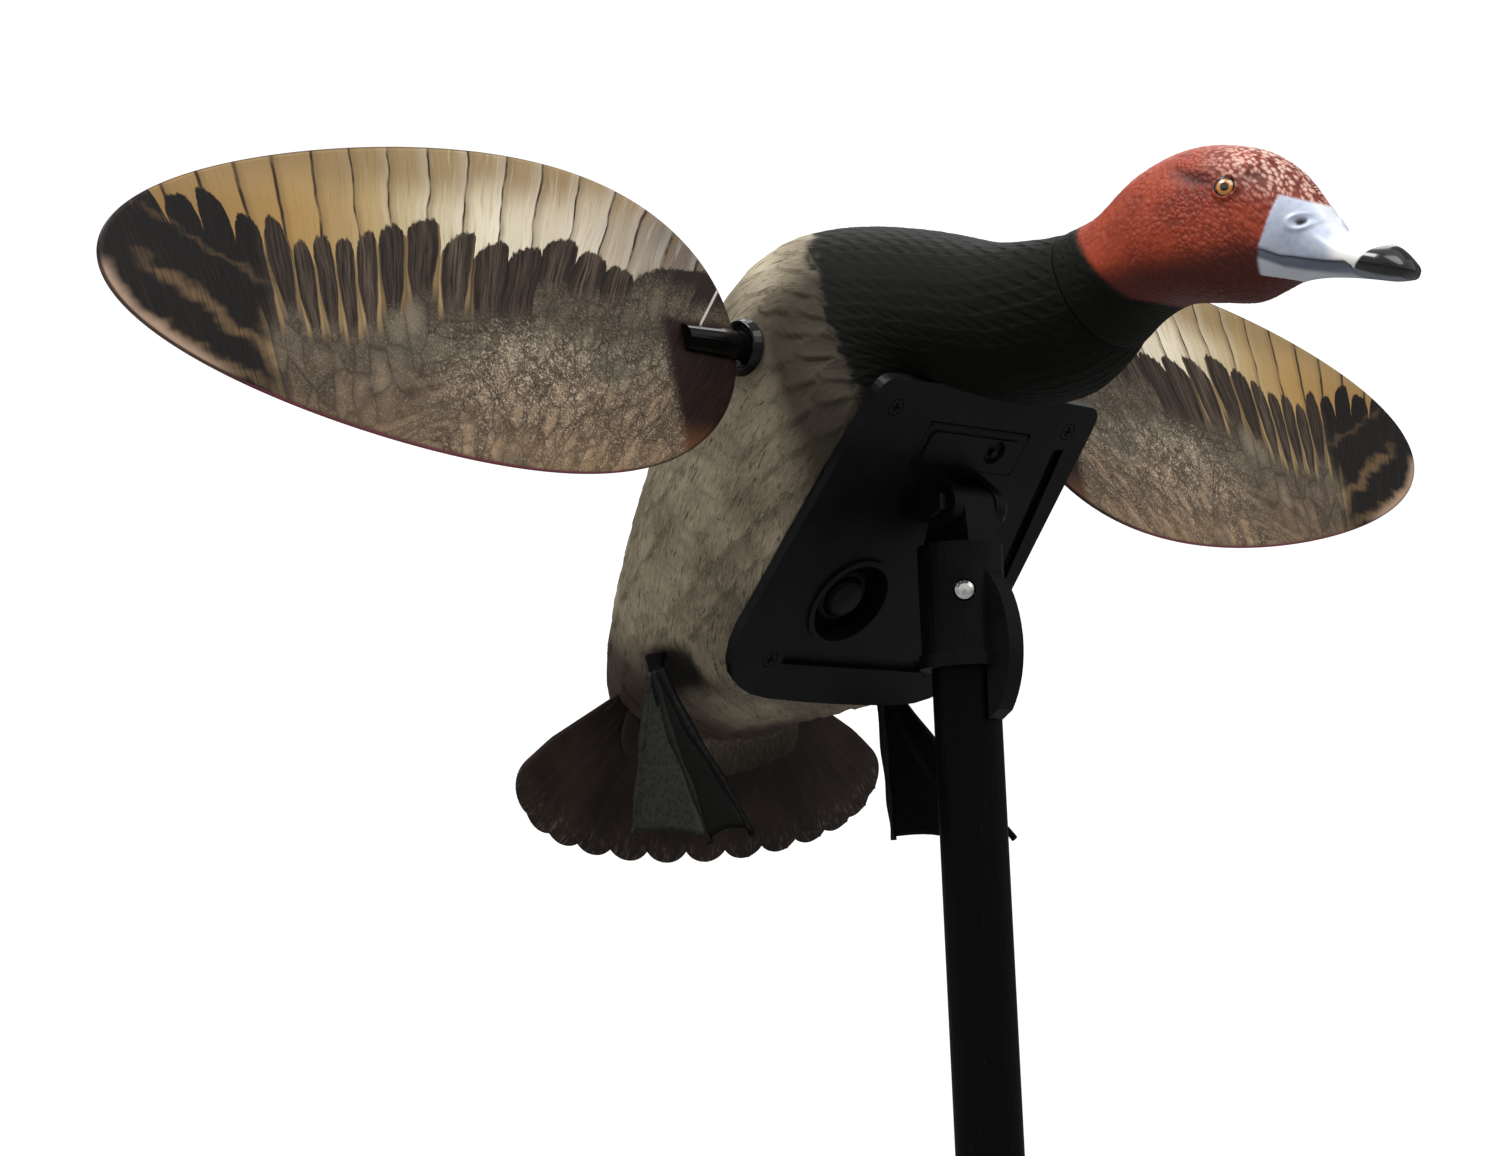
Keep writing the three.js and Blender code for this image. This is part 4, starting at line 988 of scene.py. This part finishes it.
def fingers(s, c, g, barbs):
    """Dark round feathers over the vanes' roots, thinly rimmed with gold: (share, colour, luck)."""
    outer = smooth(s, 150, 215)
    wander = 0.35 * (noise(vec(g * 0.035, 9.0), 1.0, 1) - 0.5)
    row = (g + 6 - 4.5 * outer) / (VANE_PITCH - 2.6 * outer) + wander
    number = calc("FLOOR", row)
    x = calc("FRACT", row) * 2 - 1
    side = abs(x)
    luck, other = chance(vec(number, 7.0)), chance(vec(number, 4.0))
    flat = smooth(s, 50, 40)
    single = 1 - flat
    round_off = power(side, 4) * (4 + 7 * smooth(s, 130, 200))
    slant = x * (2.6 * smooth(s, 185, 160) + 3 * (other - 0.5)) * smooth(s, 60, 85)
    top = profile(s, FINGER_TOPS) + (luck - 0.5) * 8 * smooth(s, 45, 70) - (round_off + slant) * single
    ragged = (noise(vec(g * 0.55, c * 0.25, 4.0), 1.0, 4, 0.7) - 0.5) * 6
    inside = top + ragged - c
    lit = smooth(barbs, 0.35, 0.65) * smooth(side, 0.75, 0.2) * other * smooth(s, 225, 200) * single
    golden = smooth(s, 112, 138) * smooth(s, 246, 225)
    width = 0.93 - 0.42 * smooth(inside, 10, 40) * golden
    rims = smooth(side - width, -0.1, 0.03) * golden
    gold = mix(other, (0.16, 0.1, 0.045), (0.4, 0.28, 0.13))
    gold = mix(smooth(barbs, 0.4, 0.7) * 0.5, gold, (0.1, 0.065, 0.035))
    seam = smooth(side, 0.9, 1.0) * (0.4 + 0.6 * smooth(s, 140, 120)) * single
    plum = mix(smooth(barbs, 0.3, 0.8), (0.011, 0.0068, 0.0056), (0.028, 0.018, 0.015))
    shade = paint(
        mix(smooth(barbs, 0.3, 0.8), (0.008, 0.0052, 0.004), (0.054, 0.036, 0.025)),
        (lit * 0.8, (0.125, 0.092, 0.065)),
        (rims * 0.9, gold),
        (seam * 0.8, (0.007, 0.005, 0.004)),
        (flat, plum),
    )
    return smooth(inside, -0.3, 1.0), shade, luck


def coverts(s, c, g):
    """Small feathers with pale worm marks, greyer in the middle and browner below: (colour, marks)."""
    push = noise(vec(s * 0.05, c * 0.05, 11.0), 1.0, 2) - 0.5
    soft = smooth(s + 0.9 * c, 95, 135)
    size = 1 - 0.35 * soft
    place = vec((g + 9 * push) * size / 8.0, (c + 14 * push) * size / 10.5)
    middle = cells(place, jitter=0.8)
    seam = cells(place, feature="DISTANCE_TO_EDGE", jitter=0.8)
    luck, other, _ = parts(cells(place, output="Color", jitter=0.8))
    worm = noise(vec(s * 0.62, c * 0.62, luck * 5), 1.0, 5, 0.78, 1.8)
    fleck = noise(vec(s * 1.5, c * 1.5, 3.0), 1.0, 3, 0.7)
    patch = noise(vec(s * 0.028, c * 0.04, 8.0), 1.0, 3)
    grey = mix(luck, (0.062, 0.05, 0.036), (0.18, 0.145, 0.104))
    brown = mix(luck, (0.075, 0.047, 0.028), (0.24, 0.162, 0.1))
    centre = smooth(abs(s - 112), 52, 18) * smooth(abs(c + 22), 22, 8)
    speckle = 1 - 0.62 * soft
    olive = smooth(c, -14, 2) * smooth(s, 175, 140)
    tone = paint(
        mix(smooth(patch * 12 - c * 0.2 - s * 0.012, 6.5, 13), grey, brown),
        (smooth(middle, 0.2, 0.62) * 0.6, (0.034, 0.024, 0.016)),
        (smooth(worm, 0.5, 0.6) * (0.5 + 0.4 * centre) * speckle, (0.5, 0.41, 0.3)),
        (smooth(worm, 0.45, 0.34) * 0.75 * speckle, (0.026, 0.018, 0.012)),
        (smooth(fleck, 0.58, 0.68) * 0.45 * speckle, (0.52, 0.44, 0.33)),
        (smooth(fleck, 0.42, 0.32) * 0.4 * speckle, (0.02, 0.014, 0.01)),
        (smooth(seam, 0.07, 0.0) * 0.5, (0.022, 0.015, 0.01)),
        (smooth(patch, 0.52, 0.62) * 0.35 * soft, (0.15, 0.13, 0.098)),
        (smooth(c, -38, -54) * 0.4 * other, (0.34, 0.22, 0.12)),
        (smooth(patch, 0.4, 0.3) * 0.45, (0.062, 0.06, 0.042)),
        (olive * 0.55, (0.034, 0.027, 0.018)),
    )
    return tone, worm


# The wing tip's tan streaks: start, height there, slope, width and strength.
TIP_STREAKS = ((212, -30, 0.56, 4.6, 0.6), (222, -38, 0.36, 3.4, 0.45), (205, -8, 0.45, 2.2, 0.22))


def wing_tip(s, c, rim, barbs):
    """Black outer feathers, crossed by tan streaks, with a cream lower edge."""
    wander = noise(vec((s - 1.6 * c) * 0.03, (s * 0.5 + c) * 0.1, 2.0), 1.0, 2, 0.5) - 0.5
    tone = mix(smooth(barbs, 0.42, 0.8), (0.0035, 0.0024, 0.0021), (0.02, 0.0125, 0.009))
    for start, height, slope, width, strength in TIP_STREAKS:
        away = abs(c - height - slope * (s - start) + 16 * wander)
        band = smooth(away, width, 0.0) * smooth(s, start - 9, start + 4) * smooth(s, 270, 254)
        tone = mix(band * strength * smooth(barbs, 0.25, 0.6), tone, (0.22, 0.135, 0.065))
    cream = smooth(rim + 9 * wander, 8, 1) * smooth(s, 226, 246) * smooth(c, -1, -9)
    return mix(cream * 0.7, tone, (0.5, 0.34, 0.24))


def wing_print():
    """Flight feathers along the top, dark rounded feathers under them, and mottled coverts below."""
    s, c, rim = parts(attribute("skin"))
    flight, g, barbs = flight_feathers(s, c)
    finger, dark, luck = fingers(s, c, g, barbs)
    covert, worm = coverts(s, c, g)
    fade = profile(s, FINGER_ENDS) + (luck - 0.5) * 12 + 14 * (worm - 0.5)
    below = smooth(c - fade, 5, -5) * smooth(s, 222, 208)
    wander = 22 * (noise(vec(s * 0.05, c * 0.09, 1.0), 1.0, 3) - 0.5)
    outer = smooth(s + 0.1 * c + wander, 208, 220) * finger
    maroon = mix(smooth(barbs, 0.35, 0.75), (0.0065, 0.003, 0.0027), (0.025, 0.0125, 0.01))
    maroon = mix(smooth(c, -30, -46) * 0.6, maroon, (0.15, 0.07, 0.034))
    root = smooth(s + 8 * (worm - 0.5), 40, 33) * smooth(c, 10, 5)
    # painted glint: a thin bright line across the blade near its root
    painted_glint = smooth(abs(s - 3 - (23 - c) * 0.82), 0.9, 0.3) * smooth(s, 18, 16)
    pink = smooth(rim, 0.9, 0.4) * smooth(c, 0, -20) * smooth(s, 45, 80) * smooth(s, 250, 215)
    printed = paint(
        flight,
        (finger, dark),
        (below, covert),
        (outer, wing_tip(s, c, rim, barbs)),
        (root, maroon),
        (painted_glint * 0.85, (0.58, 0.52, 0.49)),
        (smooth(rim, 1.1, 0.4) * 0.75, (0.022, 0.014, 0.012)),
        (pink * 0.55, (0.3, 0.07, 0.1)),
    )
    return surface(printed, 0.36 + 0.12 * (worm - 0.5), bump(barbs * 0.5 + worm * 0.5, 0.1, 0.15), 0.1)


def wing_outline(count):
    """The blade's edge as (across, out from the bird's middle) points."""
    turn = turns(count)
    c = np.cos(turn)
    half = 57 - 15.6 * c + 5.2 * c * c
    out = (WING_ROOT + WING_TIP) / 2 + (WING_TIP - WING_ROOT) / 2 * c
    return np.stack([half * np.sin(turn) - 3.2 * c, out], -1)


def make_wing(side, label, mat):
    """A thin blade with rounded edges."""
    lean = math.radians(101)
    half_thick, well_inside = 0.8, 30.0
    chord = np.array([math.cos(lean), 0, math.sin(lean)])
    normal = np.array([math.sin(lean), 0, -math.cos(lean)])
    count = 260
    edge = wing_outline(count)
    middle = edge.mean(0)
    inward = unit(middle - edge)
    insets = (well_inside, 2.0, 0.5, 0.12, 0.0, 0.12, 0.5, 2.0, well_inside)
    lifts = (half_thick, half_thick, half_thick, 0.55, 0.0, -0.55, -half_thick, -half_thick, -half_thick)

    def lay(ring, lift):
        return ring[:, :1] * chord + lift * normal + ring[:, 1:] * [0, side, 0]

    points, marks = [], []
    for inset, lift in zip(insets, lifts):
        ring = edge + inward * inset
        points.append(lay(ring, lift))
        marks.append(np.column_stack([ring[:, 1] - WING_ROOT, ring[:, 0], np.full(count, inset)]))
    for lift in (half_thick, -half_thick):
        points.append(lay(middle[None, :], lift))
        marks.append([[middle[1] - WING_ROOT, middle[0], well_inside]])
    faces = closed_faces(len(insets), count)
    if side > 0:
        faces = [f[::-1] for f in faces]
    drop_loose(mesh_object(f"wing_{label}", np.vstack(points) + AXLE, faces, mat, "wings",
                           [f"wing_blade_{label}"], {"skin": np.vstack(marks)}))


# ---- CAD parts that stay, softened and given a finish
def finish_cad(mat, bevel, segments, *names):
    """Gives CAD parts a material and softened edges, or sharp ones where the bevel is 0."""
    for name in names:
        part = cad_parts[name]
        part.data.materials.clear()
        part.data.materials.append(mat)
        weld = part.modifiers.new("weld", "WELD")
        weld.merge_threshold = 0.005 * MM
        if bevel:
            soft = part.modifiers.new("soft", "BEVEL")
            soft.width = bevel * MM
            soft.segments = segments
            soft.limit_method = "ANGLE"
            soft.angle_limit = math.radians(40)
            soft.use_clamp_overlap = True
            even = part.modifiers.new("even", "WEIGHTED_NORMAL")
            even.keep_sharp = True


def dress_cad():
    """The finish of every CAD part that stays."""
    black = material("black_plastic", plastic((0.0018, 0.0018, 0.0019), 0.3, 0.44, 0.3, 0.085))
    finish_cad(black, 0.35, 2, "base_plate", "charge_hatch", "pole_socket")
    finish_cad(black, 0.25, 2, "charge_socket", "power_switch", "motor_frame", "battery_tray")
    finish_cad(black, 0.15, 2, "plate_screw_1", "plate_screw_2", "plate_screw_3", "plate_screw_4")
    gloss = material("gloss_black", plastic((0.001, 0.001, 0.0011), 0.05, 0.16, 0.05, 0.22))
    finish_cad(gloss, 0.5, 3, "axle_bush_left", "axle_bush_right", "wing_post_left", "wing_post_right")
    boot = material("boot_rubber", rubber((0.003, 0.003, 0.0032)))
    finish_cad(boot, 0.4, 3, "power_button", "button_seal")
    dark_steel = material("blackened_steel", metal((0.022, 0.022, 0.023), 0.42))
    finish_cad(dark_steel, 0.3, 3, "pivot_bolt", "pivot_nut")
    steel = material("zinc_steel", metal((0.62, 0.62, 0.6)))
    finish_cad(steel, 0.15, 2, "frame_screw_1", "frame_screw_2")
    finish_cad(steel, 0.25, 3, "snap_button", "wing_screw_left", "wing_screw_right")
    finish_cad(steel, 0.2, 2, "hatch_pin", "drive_shaft", "motor")
    make_spring(steel)
    coat = material("powder_coat", powder_coat((0.0014, 0.0014, 0.0015)))
    finish_cad(coat, 0.4, 3, "pole_tube", "pole_spigot")
    sleeve = material("cell_sleeve", plastic((0.05, 0.12, 0.07), 0.1, 0.3))
    finish_cad(sleeve, 0.8, 3, "battery_pack")
    mask = material("solder_mask", plastic((0.01, 0.09, 0.035), 0.2, 0.3))
    finish_cad(mask, 0.1, 2, "control_board")
    red = material("red_lead", plastic((0.35, 0.012, 0.008), 0.1, 0.35))
    finish_cad(red, 0, 0, "battery_lead_red", "motor_lead")
    black_lead = material("black_lead", plastic((0.008, 0.008, 0.008), 0.1, 0.35))
    finish_cad(black_lead, 0, 0, "battery_lead_black")


def make_spring(steel):
    """The snap spring: a folded steel leaf that closes as the snap button goes in."""
    count = 60
    height = node_centre("snap_button")[2]
    fold = [(7.3, 6), (5.4, -4), (1.6, -20.5), (-1.2, -25.6), (-4.6, -21.5), (-8.4, -9), (-10.3, -2)]
    line = curve([(out, 0, down) for out, down in fold], count)
    way = unit(np.gradient(line, axis=0))
    face = np.stack([way[:, 2], 0 * way[:, 0], -way[:, 0]], -1)
    corners = [(0.35, 2.7), (0.15, 3), (-0.15, 3), (-0.35, 2.7)]
    section = np.array(corners + [(-a, -b) for a, b in corners])
    points = line[:, None] + section[:, :1] * face[:, None] + section[:, 1:] * [0, 1, 0]
    turn = math.radians(-45)  # the snap button's side of the pole
    radial = np.array([math.cos(turn), math.sin(turn), 0])
    across = np.array([-radial[1], radial[0], 0])
    points = points.reshape(-1, 3) @ np.array([radial, across, [0, 0, 1]]) + [0, 0, height]
    sides = len(section)
    ends = [list(range(sides))[::-1], list(range((count - 1) * sides, count * sides))]
    faces = ring_faces(count, sides) + ends
    leaf = mesh_object("snap_spring_leaf", points, faces, steel, "pole", ["snap_spring"],
                       smooth_faces=False)
    drop_loose(leaf)
    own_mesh(leaf)


# ---- stage, light and camera, in metres
def floor_paper():
    """White paper for the camera, and a darker grey for the light that it throws back."""
    seen = V(node("ShaderNodeLightPath").outputs["Is Camera Ray"])
    paper = mix(noise(position(), 0.01, 2) * 0.1, (0.86, 0.86, 0.86), (0.83, 0.83, 0.84))
    return {
        "Base Color": mix(seen, (0.3, 0.3, 0.3), paper),
        "Roughness": 0.9,
        "Specular IOR Level": 0.0,
        "Emission Color": (1, 1, 1),
        "Emission Strength": seen * 0.62,
    }


def make_floor():
    """Paper that lies flat under the decoy and bends up far behind it, square to the camera."""
    size, bend_start, bend = 30.0, 8.0, 6.0
    facing = math.radians(45)
    outline = [(-size, 0.0), (bend_start, 0.0)]
    for a in np.linspace(0.1, math.pi / 2, 16):
        outline.append((bend_start + bend * math.sin(a), bend - bend * math.cos(a)))
    outline.append((bend_start + bend, bend + size))
    across = Vector((math.cos(facing), math.sin(facing), 0))
    away = Vector((-math.sin(facing), math.cos(facing), 0))
    points = [across * w + away * d + Vector((0, 0, h)) for d, h in outline for w in (-size, size)]
    faces = [[2 * i, 2 * i + 1, 2 * i + 3, 2 * i + 2] for i in range(len(outline) - 1)]
    mesh = bpy.data.meshes.new("floor")
    mesh.from_pydata(points, [], faces)
    mesh.polygons.foreach_set("use_smooth", [True] * len(mesh.polygons))
    mesh.materials.append(material("floor_paper", floor_paper))
    add_object("floor", mesh)


# Each lamp's name, direction from the bird, size and watts.
LAMPS = (
    ("key", (-0.15, -0.9, 1.7), 0.9, 40),
    ("front", (1.4, 0.1, 1.25), 1.3, 22),
    ("rim", (-0.6, 0.9, 1.3), 1.2, 14),
)


def make_lights():
    """A white room and three soft lamps."""
    distance = 1.9
    world = bpy.data.worlds.new("studio")
    world.use_nodes = True
    background = world.node_tree.nodes["Background"]
    background.inputs["Color"].default_value = (1, 1, 1, 1)
    background.inputs["Strength"].default_value = 0.72
    bpy.context.scene.world = world
    centre = Vector(BIRD) * MM
    for name, way, size, watts in LAMPS:
        light = bpy.data.lights.new(name, "AREA")
        light.size = size
        light.energy = watts
        lamp = add_object(name, light)
        lamp.location = centre + Vector(way).normalized() * distance
        lamp.rotation_mode = "QUATERNION"
        lamp.rotation_quaternion = (centre - lamp.location).to_track_quat("-Z", "Y")


def make_camera():
    """The view of the photograph: from ahead on the bird's right, a little below it."""
    turn, rise, roll = math.radians(45), math.radians(-7.58), math.radians(-2.41)
    back = Vector((math.sin(turn) * math.cos(rise), -math.cos(turn) * math.cos(rise), math.sin(rise)))
    right = Vector((math.cos(turn), math.sin(turn), 0))
    up = back.cross(right)
    c, s = math.cos(roll), math.sin(roll)
    right, up = right * c + up * s, up * c - right * s
    data = bpy.data.cameras.new("camera")
    data.sensor_width = 36
    data.lens = 83.39
    data.clip_end = 100
    cam = add_object("camera", data)
    spot = Vector(BIRD) * MM + Vector((0.8898, -0.9629, -0.2604))
    cam.matrix_world = Matrix.Translation(spot) @ Matrix((right, up, back)).transposed().to_4x4()
    bpy.context.scene.camera = cam


# ---- build
make_body()
make_head()
eye_glass = material("eye_look", eye_look)
foot_skin = material("foot_paint", foot_paint)
wing_film = material("wing_print", wing_print)
for side, label in ((1, "left"), (-1, "right")):
    make_eye(side, label, eye_glass)
    make_foot(side, label, foot_skin)
    make_wing(side, label, wing_film)
make_tail()
dress_cad()
make_floor()
make_lights()
make_camera()
bpy.context.scene.view_settings.view_transform = "Standard"
